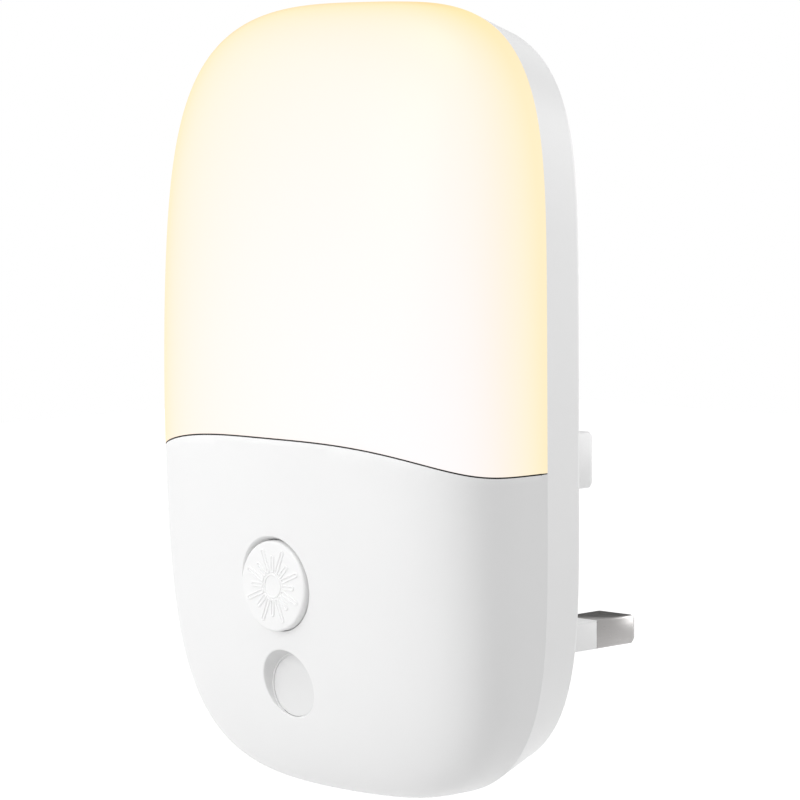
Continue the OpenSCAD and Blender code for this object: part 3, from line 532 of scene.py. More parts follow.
@dataclass
class CrownedShell:
    """One of the two front shells: rings along the rim, patches round the hollows, a field between."""

    name: str
    upper: bool
    gap: float = 0.0
    hollows: tuple[Hollow, ...] = ()
    ring_step: float = 0.6
    column_step: float = 0.95
    field_step: float = 1.25
    inner_share: float = 0.86
    seam_round: float = 0.1
    lip_depth: float = 0.08
    seam_angles: tuple[float, float] = (-1.2, 0.6)
    clear_share: float = 0.6
    wall_slack: float = 0.02

    def _seam_angle(self, share: np.ndarray) -> np.ndarray:
        """Finds where the rings meet the seam.

        Args:
            share: each ring's size as a share of the outline's.

        Returns:
            Each ring's angle on the outline.
        """

        def above(angle: np.ndarray) -> np.ndarray:
            """Height over the seam of a ring's point."""
            z = FORM.height / 2 * np.sin(angle)
            return share * z - FORM.seam_z(share * FORM.half_width(z)) - self.gap

        below, over = self.seam_angles
        return root(np.full_like(share, below), np.full_like(share, over), above)

    def _band(self) -> np.ndarray:
        """Rings that follow the outline, from the rim inwards, each from seam to seam.

        Returns:
            An array of rings by columns by three coordinates.
        """
        w = np.linspace(0, (1 - self.inner_share ** 2) ** (1 / FORM.side_root), SIDE_SAMPLES)
        s = np.sqrt(1 - w ** FORM.side_root)
        w = even_steps(FORM.width / 2 * s, FORM.dome * w, w, self.ring_step)
        share = np.sqrt(1 - w ** FORM.side_root)
        angle = np.linspace(-math.pi / 2, math.pi / 2, OUTLINE_SAMPLES)
        z = FORM.height / 2 * np.sin(angle)
        x = FORM.half_width(z)
        run = run_length(x, z)
        start = np.interp(self._seam_angle(share), angle, run)
        end = run[-1] if self.upper else 0.0
        count = round(abs(end - start[0]) / self.column_step)
        rings = []
        for size, first in zip(share, start):
            a = np.interp(np.linspace(first, end, count + 1), run, angle)
            z = FORM.height / 2 * np.sin(a)
            x = FORM.half_width(z)
            x[-1] = 0.0
            x = size * np.concatenate([x, -x[-2::-1]])
            z = size * np.concatenate([z, z[-2::-1]])
            y = FORM.front_y(x, z) if size < 1 else np.full_like(x, FORM.rim_y)
            rings.append(np.stack([x, y, z], axis=1))
        return np.array(rings)

    def _field(self, edge: np.ndarray, holes: list[np.ndarray]) -> tuple[np.ndarray, list[tuple[int, ...]]]:
        """Triangles between the innermost ring, the seam and the patches.

        Args:
            edge: the innermost ring.
            holes: the outer circle of each patch.

        Returns:
            The points and the triangles.
        """
        first = edge[0, 0]
        xs = np.linspace(-first, first, round(2 * first / self.column_step) + 1)[1:-1]
        zs = FORM.seam_z(xs) + self.gap
        seam = np.stack([xs, FORM.front_y(xs, zs), zs], axis=1)
        loops = [np.concatenate([edge, seam]), *holes]
        step = self.field_step
        gx, gz = np.meshgrid(np.arange(-FORM.width / 2, FORM.width / 2, step),
                             np.arange(-FORM.height / 2, FORM.height / 2, step * math.sqrt(0.75)))
        gx = gx + np.where(np.arange(len(gz)) % 2, step / 2, 0)[:, None]
        x, z = gx.ravel(), gz.ravel()
        rim = np.concatenate(loops)
        away = np.array([np.hypot(rim[:, 0] - a, rim[:, 2] - b).min() for a, b in zip(x, z)])
        keep = (away > self.clear_share * step) & self._inside(x, z)
        loops.append(np.stack([x[keep], FORM.front_y(x[keep], z[keep]), z[keep]], axis=1))
        points = np.concatenate(loops)
        edges, start = [], 0
        for loop in loops[:-1]:
            edges += [(start + k, start + (k + 1) % len(loop)) for k in range(len(loop))]
            start += len(loop)
        flat = [Vector((p[0], p[2])) for p in points]
        _, _, triangles, source, _, _ = delaunay_2d_cdt(flat, edges, [], 1, ROUNDING / 10)
        corners = np.array([[source[k][0] for k in t] for t in triangles])
        middles = points[corners].mean(axis=1)
        inside = self._inside(middles[:, 0], middles[:, 2])
        return points, [tuple(t) for t in corners[inside].tolist()]

    def _inside(self, x: np.ndarray, z: np.ndarray) -> np.ndarray:
        """Tells where the field between the band, the seam and the patches is.

        Args:
            x: places along X.
            z: heights above the casing's centre.

        Returns:
            Whether each place is in it.
        """
        past_seam = (z - FORM.seam_z(x) - self.gap) * (1 if self.upper else -1)
        size = self.inner_share
        inside = (past_seam > 0) & (np.abs(x) < size * FORM.half_width(z / size))
        for hollow in self.hollows:
            inside &= np.hypot(x, z - hollow.z) > hollow.patch * math.cos(math.pi / hollow.sides)
        return inside

    def build(self) -> bpy.types.Object:
        """Makes the shell, with its wall's thickness and a rounded seam edge.

        Returns:
            The shell. Its inside and its edges have the second material, a thin recess the third.
        """
        band = self._band()
        parts, faces = [band.reshape(-1, 3)], grid_faces(len(band), band.shape[1], False)
        count = len(parts[0])
        patches = [hollow.rings() for hollow in self.hollows]
        for patch in patches:
            faces += grid_faces(len(patch), patch.shape[1], True, count)
            parts.append(patch.reshape(-1, 3))
            count += len(parts[-1])
        points, triangles = self._field(band[-1], [patch[0] for patch in patches])
        faces += [tuple(count + k for k in t) for t in triangles]
        parts.append(points)
        points = np.concatenate(parts) + [0, 0, FORM.centre_z]
        piece = lay_mesh(self.name, points, faces)
        Bench.face_along(piece, -1)
        Bench.add_slots(piece, "outside", "inside and edges", "walls of the recess")
        walls = piece.vertex_groups.new(name="wall_share")
        for vertex in piece.data.vertices:
            walls.add([vertex.index], self._wall_share(vertex.co / MM), "REPLACE")
        Bench.modify(piece, "SOLIDIFY", thickness=FORM.shell_wall * MM, offset=-1,
                     material_offset=1, material_offset_rim=1, vertex_group=walls.name)
        # The walls of a thin recess get the third material, which holds painted shade on the cover.
        for face in piece.data.polygons:
            if face.material_index == 0 and self._in_recess(face.center / MM):
                face.material_index = 2
        self._round_seam(piece)
        return Bench.smooth(piece, 30)

    def _wall_share(self, place: Vector) -> float:
        """Says how thick the wall is at a place: it is thinner within some hollows.

        Args:
            place: a corner of the outside, in millimetres.

        Returns:
            The thickness as a share of the shell's.
        """
        for hollow in self.hollows:
            if hollow.distance(place) < hollow.radius + self.wall_slack:
                return hollow.wall_share
        return 1.0

    def _in_recess(self, place: Vector) -> bool:
        """Tells the wall of a recess from the cover's outside; the cover paints shade on that wall.

        Args:
            place: the middle of a face of the outside, in millimetres.

        Returns:
            Whether it is past the lip of a hollow with a thin wall.
        """
        front = FORM.front_y(np.array([place.x]), np.array([place.z - FORM.centre_z]))[0]
        return any(hollow.wall_share < 1 and hollow.distance(place) < hollow.patch
                   and place.y > front + self.lip_depth for hollow in self.hollows)

    def _round_seam(self, piece: bpy.types.Object) -> None:
        """Rounds the outer edge along the seam.

        Args:
            piece: the shell.
        """

        def on_seam(p: Vector) -> bool:
            """Finds the corners of that edge.

            Args:
                p: a corner's place in millimetres.

            Returns:
                Whether it is on the edge.
            """
            x, z = np.array([p.x]), np.array([p.z - FORM.centre_z])
            low = abs(z[0] - FORM.seam_z(x)[0] - self.gap) < SEAM_NEAR / 5
            return low and abs(p.y - FORM.front_y(x, z)[0]) < SEAM_NEAR and p.y < FORM.rim_y - SEAM_NEAR

        Bench.select(piece, on_seam)
        bpy.ops.mesh.select_mode(type="EDGE")
        bpy.ops.mesh.bevel(offset=self.seam_round * MM, segments=2, affect="EDGES", clamp_overlap=True)
        bpy.ops.object.mode_set(mode="OBJECT")


# ---------------------------------------------------------------- materials


class Sheet:
    """Adds nodes and links to one node tree."""

    def __init__(self, tree: bpy.types.NodeTree) -> None:
        """Starts on an empty tree."""
        self.tree = tree
        tree.nodes.clear()

    def add(self, kind: str, settings: dict[str, object] | None = None,
            **inputs: object) -> bpy.types.Node:
        """Adds a node.

        Args:
            kind: the node's type.
            settings: values for the node's own properties.
            inputs: values or sockets for its inputs, with _ for a space in a name.

        Returns:
            The node.
        """
        node = self.tree.nodes.new(kind)
        for key, value in (settings or {}).items():
            setattr(node, key, value)
        for key, value in inputs.items():
            target = node.inputs[int(key[1:])] if key[0] == "i" and key[1:].isdigit() \
                else node.inputs[key.replace("_", " ")]
            if isinstance(value, bpy.types.NodeSocket):
                self.tree.links.new(value, target)
            else:
                target.default_value = value
        return node

    def math(self, operation: str, *values: object) -> bpy.types.NodeSocket:
        """Adds a Math node.

        Args:
            operation: what it does.
            values: its inputs, numbers or sockets.

        Returns:
            Its output.
        """
        inputs = {f"i{k}": value for k, value in enumerate(values)}
        return self.add("ShaderNodeMath", {"operation": operation}, **inputs).outputs[0]

    def noise(self, place: bpy.types.NodeSocket, scale: object, detail: float) -> bpy.types.NodeSocket:
        """Adds a noise texture and gives its value."""
        return self.add("ShaderNodeTexNoise", Vector=place, Scale=scale, Detail=detail).outputs[0]

    def darken(self, colour: bpy.types.NodeSocket, dip: bpy.types.NodeSocket) -> bpy.types.NodeSocket:
        """Takes a share of a colour's brightness away."""
        tone = self.math("SUBTRACT", 1.0, dip)
        return self.add("ShaderNodeVectorMath", {"operation": "SCALE"}, i0=colour, Scale=tone).outputs[0]

    def vary(self, value: bpy.types.NodeSocket, noise: bpy.types.NodeSocket,
             spread: bpy.types.NodeSocket) -> bpy.types.NodeSocket:
        """Moves a value up and down with a noise, by no more than half the spread."""
        return self.math("ADD", value, self.math("MULTIPLY", self.math("SUBTRACT", noise, 0.5), spread))


def set_inputs(node: bpy.types.Node, **values: object) -> None:
    """Sets constants on a node's own inputs, with _ for a space in a name."""
    for key, value in values.items():
        node.inputs[key.replace("_", " ")].default_value = value


def shader_group(name: str, inputs: dict[str, object], outputs: dict[str, str],
                 fill: Callable[[Sheet, bpy.types.NodeOutputs], dict[str, bpy.types.NodeSocket]]
                 ) -> bpy.types.NodeTree:
    """Makes a node group once, for the materials that share it.

    Args:
        name: the group's name.
        inputs: default value of each input, a number or a colour.
        outputs: socket type of each output.
        fill: adds the nodes, from the group's inputs, and returns the socket for each output.

    Returns:
        The group.
    """
    if name in bpy.data.node_groups:
        return bpy.data.node_groups[name]
    tree = bpy.data.node_groups.new(name, "ShaderNodeTree")
    for key, value in inputs.items():
        kind = "NodeSocketFloat" if isinstance(value, (int, float)) else "NodeSocketColor"
        socket = tree.interface.new_socket(key, in_out="INPUT", socket_type=kind)
        socket.default_value = value if isinstance(value, (int, float)) else (*value, 1.0)
    for key, kind in outputs.items():
        tree.interface.new_socket(key, in_out="OUTPUT", socket_type=kind)
    sheet = Sheet(tree)
    way_in = tree.nodes.new("NodeGroupInput")
    way_out = tree.nodes.new("NodeGroupOutput")
    for key, socket in fill(sheet, way_in.outputs).items():
        tree.links.new(socket, way_out.inputs[key])
    return tree


SKIN_OUTPUTS = {"Colour": "NodeSocketColor", "Roughness": "NodeSocketFloat",
                "Height": "NodeSocketFloat"}


def moulded_skin() -> bpy.types.NodeTree:
    """Group for plastic: a faint cloudiness of the colour and the fine grain of the mould.

    Returns:
        The group.
    """

    def fill(sheet: Sheet, given: bpy.types.NodeOutputs) -> dict[str, bpy.types.NodeSocket]:
        """Adds the group's nodes.

        Args:
            sheet: the group's tree.
            given: the group's inputs.

        Returns:
            The socket for each output.
        """
        place = sheet.add("ShaderNodeTexCoord").outputs["Object"]
        cloud = sheet.noise(place, given["Cloud Scale"], 2.0)
        grain = sheet.noise(place, given["Grain Scale"], 3.0)
        dip = sheet.math("MULTIPLY", cloud, given["Mottle"])
        return {"Colour": sheet.darken(given["Colour"], dip), "Height": grain,
                "Roughness": sheet.vary(given["Roughness"], grain, given["Roughness Spread"])}

    inputs = {"Colour": (0.8, 0.8, 0.8), "Mottle": 0.02, "Cloud Scale": 60.0, "Grain Scale": 2500.0,
              "Roughness": 0.35, "Roughness Spread": 0.06}
    return shader_group("moulded_skin", inputs, SKIN_OUTPUTS, fill)


def drawn_skin() -> bpy.types.NodeTree:
    """Group for metal: fine lines along the pins and a faint tarnish.

    Returns:
        The group.
    """

    def fill(sheet: Sheet, given: bpy.types.NodeOutputs) -> dict[str, bpy.types.NodeSocket]:
        """Adds the group's nodes.

        Args:
            sheet: the group's tree.
            given: the group's inputs.

        Returns:
            The socket for each output.
        """
        place = sheet.add("ShaderNodeTexCoord").outputs["Object"]
        drawn = sheet.add("ShaderNodeMapping", Vector=place, Scale=(1.0, 0.06, 1.0)).outputs[0]
        lines = sheet.noise(drawn, given["Line Scale"], 4.0)
        stain = sheet.noise(place, given["Stain Scale"], 3.0)
        both = sheet.math("ADD", sheet.math("MULTIPLY", lines, 0.5), sheet.math("MULTIPLY", stain, 0.5))
        dip = sheet.math("MULTIPLY", both, given["Tarnish"])
        return {"Colour": sheet.darken(given["Colour"], dip), "Height": lines,
                "Roughness": sheet.vary(given["Roughness"], lines, given["Roughness Spread"])}

    inputs = {"Colour": (0.6, 0.6, 0.6), "Tarnish": 0.1, "Line Scale": 6000.0, "Stain Scale": 180.0,
              "Roughness": 0.3, "Roughness Spread": 0.15}
    return shader_group("drawn_skin", inputs, SKIN_OUTPUTS, fill)


def lamp_glow() -> bpy.types.NodeTree:
    """Group for the lit shell: 0 over the LEDs, rising past 1 at its far edges and its rim.

    Returns:
        The group.
    """

    def fill(sheet: Sheet, given: bpy.types.NodeOutputs) -> dict[str, bpy.types.NodeSocket]:
        """Adds the group's nodes.

        Args:
            sheet: the group's tree.
            given: the group's inputs.

        Returns:
            The socket for each output.
        """
        place = sheet.add("ShaderNodeTexCoord").outputs["Object"]
        parts = sheet.add("ShaderNodeSeparateXYZ", Vector=place).outputs

        def away(axis: str, start: str) -> bpy.types.NodeSocket:
            """Distance from the start along an axis, as a share of the reach."""
            distance = sheet.math("SUBTRACT", parts[axis], given[start])
            return sheet.math("DIVIDE", distance, given[f"Reach {axis}"])

        across, along = away("X", "Middle X"), away("Z", "Middle Z")
        back = sheet.math("MAXIMUM", away("Y", "Crown Y"), 0.0)
        square = sheet.math("ADD", sheet.math("MULTIPLY", across, across),
                            sheet.math("MULTIPLY", along, along))
        square = sheet.math("ADD", square, sheet.math("POWER", back, 4.0))
        return {"Distance": sheet.math("SQRT", square)}

    inputs = {"Middle X": 0.0, "Crown Y": -0.04, "Middle Z": 0.04, "Reach X": 0.03, "Reach Y": 0.02,
              "Reach Z": 0.05}
    return shader_group("lamp_glow", inputs, {"Distance": "NodeSocketFloat"}, fill)


class Finish:
    """A finish that makes its material once."""

    name: str

    def material(self) -> bpy.types.Material:
        """Makes the material, or finds it if it is there.

        Returns:
            The material.
        """
        found = bpy.data.materials.get(self.name)
        if found is not None:
            return found
        made = bpy.data.materials.new(self.name)
        made.use_nodes = True
        sheet = Sheet(made.node_tree)
        shader = sheet.add("ShaderNodeBsdfPrincipled")
        self.dress(sheet, shader)
        sheet.add("ShaderNodeOutputMaterial", Surface=shader.outputs[0])
        return made

    def dress(self, sheet: Sheet, shader: bpy.types.Node) -> None:
        """Sets the shader's sockets."""
        raise NotImplementedError

    @staticmethod
    def wear(sheet: Sheet, shader: bpy.types.Node, skin: bpy.types.Node, relief: float = 0.0,
             depth: float = 0.0) -> None:
        """Puts a skin's colour, roughness and relief on the shader.

        Args:
            sheet: the material's nodes.
            shader: its shader.
            skin: the skin's group node.
            relief: strength of the relief, or 0 for none.
            depth: its depth in millimetres.
        """
        links = sheet.tree.links
        links.new(skin.outputs["Colour"], shader.inputs["Base Color"])
        links.new(skin.outputs["Roughness"], shader.inputs["Roughness"])
        if relief:
            bump = sheet.add("ShaderNodeBump", Strength=relief, Distance=depth * MM,
                             Height=skin.outputs["Height"])
            links.new(bump.outputs[0], shader.inputs["Normal"])


@dataclass(frozen=True)
class Moulded(Finish):
    """Moulded plastic, or another dull or glossy skin with a fine grain."""

    name: str
    colour: Colour
    roughness: float = 0.36
    mottle: float = 0.02
    grain_scale: float = 2600.0
    grain_depth: float = 0.004
    relief: float = 0.6
    spread: float = 0.05
    clear: float = 0.0
    coat: float = 0.0
    shine: float = 0.5
    glow: Colour | None = None
    glow_strength: float = 1.0

    def dress(self, sheet: Sheet, shader: bpy.types.Node) -> None:
        """Sets the shader's sockets.

        Args:
            sheet: the material's nodes.
            shader: its shader.
        """
        skin = sheet.add("ShaderNodeGroup", {"node_tree": moulded_skin()}, Colour=(*self.colour, 1),
                         Mottle=self.mottle, Grain_Scale=self.grain_scale, Roughness=self.roughness,
                         Roughness_Spread=self.spread)
        self.wear(sheet, shader, skin, self.relief, self.grain_depth)
        set_inputs(shader, Transmission_Weight=self.clear, Coat_Weight=self.coat,
                   Specular_IOR_Level=self.shine)
        if self.glow is not None:
            set_inputs(shader, Emission_Color=(*self.glow, 1), Emission_Strength=self.glow_strength)


@dataclass(frozen=True)
class Metal(Finish):
    """Bare or plated metal with fine drawn lines."""

    name: str
    colour: Colour
    roughness: float = 0.3
    tarnish: float = 0.12
    spread: float = 0.15
    line_depth: float = 0.003
    relief: float = 0.5

    def dress(self, sheet: Sheet, shader: bpy.types.Node) -> None:
        """Sets the shader's sockets.

        Args:
            sheet: the material's nodes.
            shader: its shader.
        """
        skin = sheet.add("ShaderNodeGroup", {"node_tree": drawn_skin()}, Colour=(*self.colour, 1),
                         Tarnish=self.tarnish, Roughness=self.roughness, Roughness_Spread=self.spread)
        self.wear(sheet, shader, skin, self.relief, self.line_depth)
        set_inputs(shader, Metallic=1.0)


@dataclass(frozen=True)
class Lit(Finish):
    """Milky plastic lit from behind: white over the LEDs, warm at its rim and at shallow angles."""

    name: str
    colour: Colour
    middle: Point = (0.0, -38.7, 5.5)
    reach: Point = (51.4, 19.6, 104.2)
    stops: tuple[tuple[float, Colour], ...] = ()
    strength: float = 1.0
    roughness: float = 0.4
    shine: float = 0.25
    tint: Colour = (1.0, 0.9, 0.763)
    tint_ior: float = 1.05

    def dress(self, sheet: Sheet, shader: bpy.types.Node) -> None:
        """Sets the shader's sockets.

        Args:
            sheet: the material's nodes.
            shader: its shader.
        """
        skin = sheet.add("ShaderNodeGroup", {"node_tree": moulded_skin()}, Colour=(*self.colour, 1),
                         Mottle=0.01, Grain_Scale=2600.0, Roughness=self.roughness,
                         Roughness_Spread=0.04)
        glow = sheet.add("ShaderNodeGroup", {"node_tree": lamp_glow()},
                         Middle_X=self.middle[0] * MM, Crown_Y=self.middle[1] * MM,
                         Middle_Z=self.middle[2] * MM, Reach_X=self.reach[0] * MM,
                         Reach_Y=self.reach[1] * MM, Reach_Z=self.reach[2] * MM)
        last = self.stops[-1][0]
        ramp = sheet.add("ShaderNodeValToRGB", Fac=sheet.math("DIVIDE", glow.outputs["Distance"], last))
        ramp.color_ramp.interpolation = "B_SPLINE"
        elements = ramp.color_ramp.elements
        while len(elements) < len(self.stops):
            elements.new(0.5)
        for element, (place, colour) in zip(elements, self.stops):
            element.position = place / last
            element.color = (*colour, 1)
        self.wear(sheet, shader, skin)
        sheet.tree.links.new(ramp.outputs["Color"], shader.inputs["Emission Color"])
        set_inputs(shader, Emission_Strength=self.strength, Specular_IOR_Level=self.shine,
                   Coat_Weight=1.0, Coat_Roughness=self.roughness, Coat_IOR=self.tint_ior,
                   Coat_Tint=(*self.tint, 1))


WHITE = Moulded("white_cover_plastic", (0.9, 0.9, 0.9), roughness=0.42, shine=0.3)
HOUSING_WHITE = Moulded("white_housing_plastic", (0.9, 0.9, 0.9), roughness=0.42, shine=0.3)
CAP_WHITE = Moulded("white_button_plastic", (0.91, 0.91, 0.91), roughness=0.4, shine=0.3)
# Painted shade: the cap's side wall is a darker grey than its face, standing in for the shadow in the gap
# around the button.
CAP_SIDE_PAINTED_SHADE = Moulded("painted_shade_button_side", (0.6, 0.6, 0.6), roughness=0.45, shine=0.3)
# Painted shade: the recess walls are a darker grey than the cover, standing in for the shade in the recess;
# they are also rougher.
RECESS_PAINTED_SHADE = Moulded("painted_shade_recess_plastic", (0.76, 0.76, 0.76), roughness=0.6, shine=0.2)
LIT_MILK = Lit("lit_milky_plastic", (0.09, 0.088, 0.08), strength=1.35,
               stops=((0.0, (0.69, 0.77, 0.984)), (0.4, (0.69, 0.751, 0.947)),
                      (0.7, (0.69, 0.716, 0.834)), (0.9, (0.69, 0.716, 0.747)),
                      (1.1, (0.69, 0.706, 0.659)), (1.3, (0.69, 0.674, 0.542))))
# Painted shade: the diffuser's inside, edges and tongue are dark grey, though its milky plastic is lit from
# behind, so the seam gap reads dark.
MILK_PAINTED_SHADE = Moulded("painted_shade_milky_plastic", (0.2, 0.2, 0.19), roughness=0.5)
# Painted shadow: the cover's seam edges and inside are near black, standing in for the shadow in the seam
# gap.
JOINT_PAINTED_SHADOW = Moulded("painted_shadow_joint_plastic", (0.13, 0.13, 0.13), roughness=0.6)
EARTH_WHITE = Moulded("white_pin_plastic", (0.9, 0.9, 0.9), roughness=0.4, shine=0.3)
SLEEVE_WHITE = Moulded("white_sleeve_plastic", (0.92, 0.92, 0.92), roughness=0.45, shine=0.3)
CARD_BLACK = Moulded("black_card", (0.03, 0.03, 0.03), roughness=0.8, shine=0.1)
PIN_METAL = Metal("plated_pin_metal", (0.35, 0.34, 0.335), roughness=0.3)

SLOT_FINISHES: dict[str, Finish] = {
    "white_plastic": WHITE,
    "housing_plastic": HOUSING_WHITE,
    "milky_diffuser": LIT_MILK,
    "button_plastic": CAP_WHITE,
    "inner_white_plastic": Moulded("matt_inner_plastic", (0.88, 0.88, 0.87), roughness=0.6),
    "window_plastic": Moulded("frosted_window_plastic", (0.8, 0.8, 0.8), roughness=0.5,
                              grain_scale=1800.0),
    "earth_plastic": EARTH_WHITE,
    "sleeve_plastic": SLEEVE_WHITE,
    "plated_brass": PIN_METAL,
    "terminal_brass": Metal("terminal_brass", (0.75, 0.56, 0.27), roughness=0.32),
    "retainer_plastic": Moulded("natural_nylon", (0.78, 0.73, 0.6), roughness=0.5, mottle=0.06),
    "zinc_screws": Metal("zinc_plated_steel", (0.66, 0.67, 0.69), roughness=0.26, tarnish=0.2),
    "live_insulation": Moulded("brown_insulation", (0.2, 0.07, 0.03), roughness=0.42),
    "neutral_insulation": Moulded("blue_insulation", (0.03, 0.08, 0.4), roughness=0.42),
    "positive_insulation": Moulded("red_insulation", (0.5, 0.02, 0.02), roughness=0.42),
    "negative_insulation": Moulded("black_insulation", (0.015, 0.015, 0.015), roughness=0.42),
    "green_board": Moulded("green_solder_mask", (0.012, 0.16, 0.05), roughness=0.3, mottle=0.25,
                           grain_scale=1400.0, coat=0.3),
    "white_board": Moulded("white_solder_mask", (0.82, 0.83, 0.82), roughness=0.3, coat=0.2),
    "moulding_compound": Moulded("black_moulding_compound", (0.02, 0.02, 0.022), roughness=0.55,
                                 grain_scale=5000.0, grain_depth=0.01),
    "film_case": Moulded("yellow_capacitor_case", (0.62, 0.36, 0.04), roughness=0.35),
    "can_sleeve": Moulded("dark_shrink_sleeve", (0.015, 0.025, 0.05), roughness=0.25, coat=0.3),
    "varistor_coat": Moulded("blue_epoxy_coat", (0.02, 0.12, 0.32), roughness=0.3, mottle=0.15),
    "resistor_coat": Moulded("tan_ceramic_coat", (0.5, 0.36, 0.2), roughness=0.6, mottle=0.12),
    "ceramic_chips": Moulded("dark_ceramic", (0.03, 0.026, 0.022), roughness=0.5),
    "sensor_lens": Moulded("clear_epoxy", (0.8, 0.86, 0.9), roughness=0.08, clear=0.9),
    "switch_body": Moulded("black_switch_plastic", (0.02, 0.02, 0.02), roughness=0.5),
    "switch_metal": Metal("tinned_steel", (0.7, 0.7, 0.7), roughness=0.3),
    "switch_spring": Metal("plated_spring_strip", (0.78, 0.62, 0.3), roughness=0.25),
    "plunger_plastic": Moulded("brown_plunger_plastic", (0.16, 0.05, 0.02), roughness=0.45),
    "led_package": Moulded("lit_led_package", (0.9, 0.7, 0.25), roughness=0.3, glow=(1.0, 0.85, 0.55),
                           glow_strength=3.0),
    "label_film": Moulded("bare_label_film", (0.62, 0.63, 0.64), roughness=0.3, mottle=0.05,
                          grain_scale=900.0, grain_depth=0.002),
}


def deliver(piece: bpy.types.Object, body: str, slot: str, *replaced: str,
            finishes: Sequence[Finish] = ()) -> bpy.types.Object:
    """Dresses a finished piece and puts it on its body.

    Args:
        piece: the finished piece.
        body: the CAD body that it moves with.
        slot: the record's material slot.
        replaced: the CAD nodes that it stands for.
        finishes: its finishes, if they aren't the slot's one.

    Returns:
        The same piece.
    """
    chosen = finishes or (SLOT_FINISHES[slot],)
    while len(piece.data.materials) < len(chosen):
        piece.data.materials.append(None)
    for index, finish in enumerate(chosen):
        piece.data.materials[index] = finish.material()
    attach(piece, body)
    if replaced:
        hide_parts(*replaced)
    log.info("%s: %d faces on %s", piece.name, len(piece.data.polygons), body)
    return piece


# ---------------------------------------------------------------- the two front shells


@dataclass
class FrontShells:
    """The white cover with its two hollows, the lit diffuser above it and the tongue between them."""

    button_z: float = -23.3
    button_radius: float = 5.95
    button_clearance: float = 0.1
    button_skirt: float = 3.4
    button_sink: float = 0.2
    pocket_patch: float = 7.2
    flange_gap: float = 0.05
    sensor_z: float = -36.9
    window_radius: float = 4.05
    window_sink: float = 0.15
    recess_step: float = 0.2
    recess_patch: float = 5.75
    recess_wall: float = 0.12
    seam_gap: float = 0.16
    diffuser_round: float = 0.04
    tongue_slip: float = 0.12
    tongue_wall: float = 1.2
    tongue_margin: float = 0.3
    tongue_end: float = 1.6
    tongue_columns: int = 121
    tongue_levels: tuple[float, ...] = (-2.6, -1.3, 0.0, 1.0, 2.0)

    def level(self, z: float) -> float:
        """Y of the crowned front on the middle line at a height."""
        return float(FORM.front_y(np.array([0.0]), np.array([z]))[0])

    @property
    def cap_face(self) -> float:
        """Y of the button's face."""
        return self.level(self.button_z + self.button_radius) + self.button_sink

    @property
    def window_face(self) -> float:
        """Y of the sensor window's face."""
        return self.level(self.sensor_z - self.window_radius) + self.window_sink

    def hollows(self) -> tuple[Hollow, Hollow]:
        """Places the two round hollows of the cover.

        Returns:
            The button's pocket and the light sensor's recess.
        """
        bore = self.button_radius + self.button_clearance
        pocket = Hollow(self.button_z, bore, self.level(self.button_z - self.button_radius),
                        self.pocket_patch, ((bore, self.cap_face + self.button_skirt - self.flange_gap),))
        # The recess's walls are coloured with painted shade through the cover's third material.
        step = self.window_face - self.recess_step
        recess = Hollow(self.sensor_z, self.window_radius + self.recess_step, step, self.recess_patch,
                        ((self.window_radius, step), (self.window_radius, self.window_face)),
                        wall_share=self.recess_wall)
        return pocket, recess

    def build(self) -> None:
        """Makes the cover, the diffuser and its tongue."""
        cover = CrownedShell("front_cover_shell", False, hollows=self.hollows()).build()
        # The cover's inside and seam edges get the painted shadow.
        deliver(cover, CASING, "white_plastic", "front_cover",
                finishes=(WHITE, JOINT_PAINTED_SHADOW, RECESS_PAINTED_SHADE))
        diffuser = CrownedShell("diffuser_shell", True, gap=self.seam_gap,
                                seam_round=self.diffuser_round).build()
        # The diffuser's inside and edges get the painted shade.
        deliver(diffuser, CASING, "milky_diffuser", "diffuser", finishes=(LIT_MILK, MILK_PAINTED_SHADE))
        self.tongue()

    def tongue(self) -> None:
        """Makes the tongue that goes from the diffuser down behind the cover."""
        inset = FORM.shell_wall + self.tongue_slip
        share = np.linspace(-1, 1, self.tongue_columns)
        x = np.sin(share * math.pi / 2) * (FORM.width / 2 - self.tongue_margin)
        points = np.array([FORM.behind(x, FORM.seam_z(x) + level, inset) for level in self.tongue_levels])
        points += [0, 0, FORM.centre_z]
        points = points[:, points[0, :, 1] < FORM.rim_y - self.tongue_end]
        piece = lay_mesh("diffuser_tongue", points.reshape(-1, 3),
                         grid_faces(len(points), points.shape[1], False))
        Bench.face_along(piece, -1)
        Bench.modify(piece, "SOLIDIFY", thickness=self.tongue_wall * MM, offset=-1)
        # The tongue gets the painted shade as well.
        deliver(Bench.smooth(piece), CASING, "milky_diffuser", finishes=(MILK_PAINTED_SHADE,))


# ---------------------------------------------------------------- rear housing


@dataclass(frozen=True)
class Prong:
    """Where a pin's axis stands along X and Z, and half the pin's size along them."""

    x: float
    z: float
    half_x: float
    half_z: float

    def block(self, name: str, start: float, end: float, grow: float = 0.0) -> bpy.types.Object:
        """Adds a block around the axis.

        Args:
            name: the block's name.
            start: Y of its front.
            end: Y of its back.
            grow: how much it is larger than the pin on each side.

        Returns:
            The block.
        """
        half_x, half_z = self.half_x + grow, self.half_z + grow
        return Bench.box(name, (self.x - half_x, start, self.z - half_z),
                         (self.x + half_x, end, self.z + half_z))


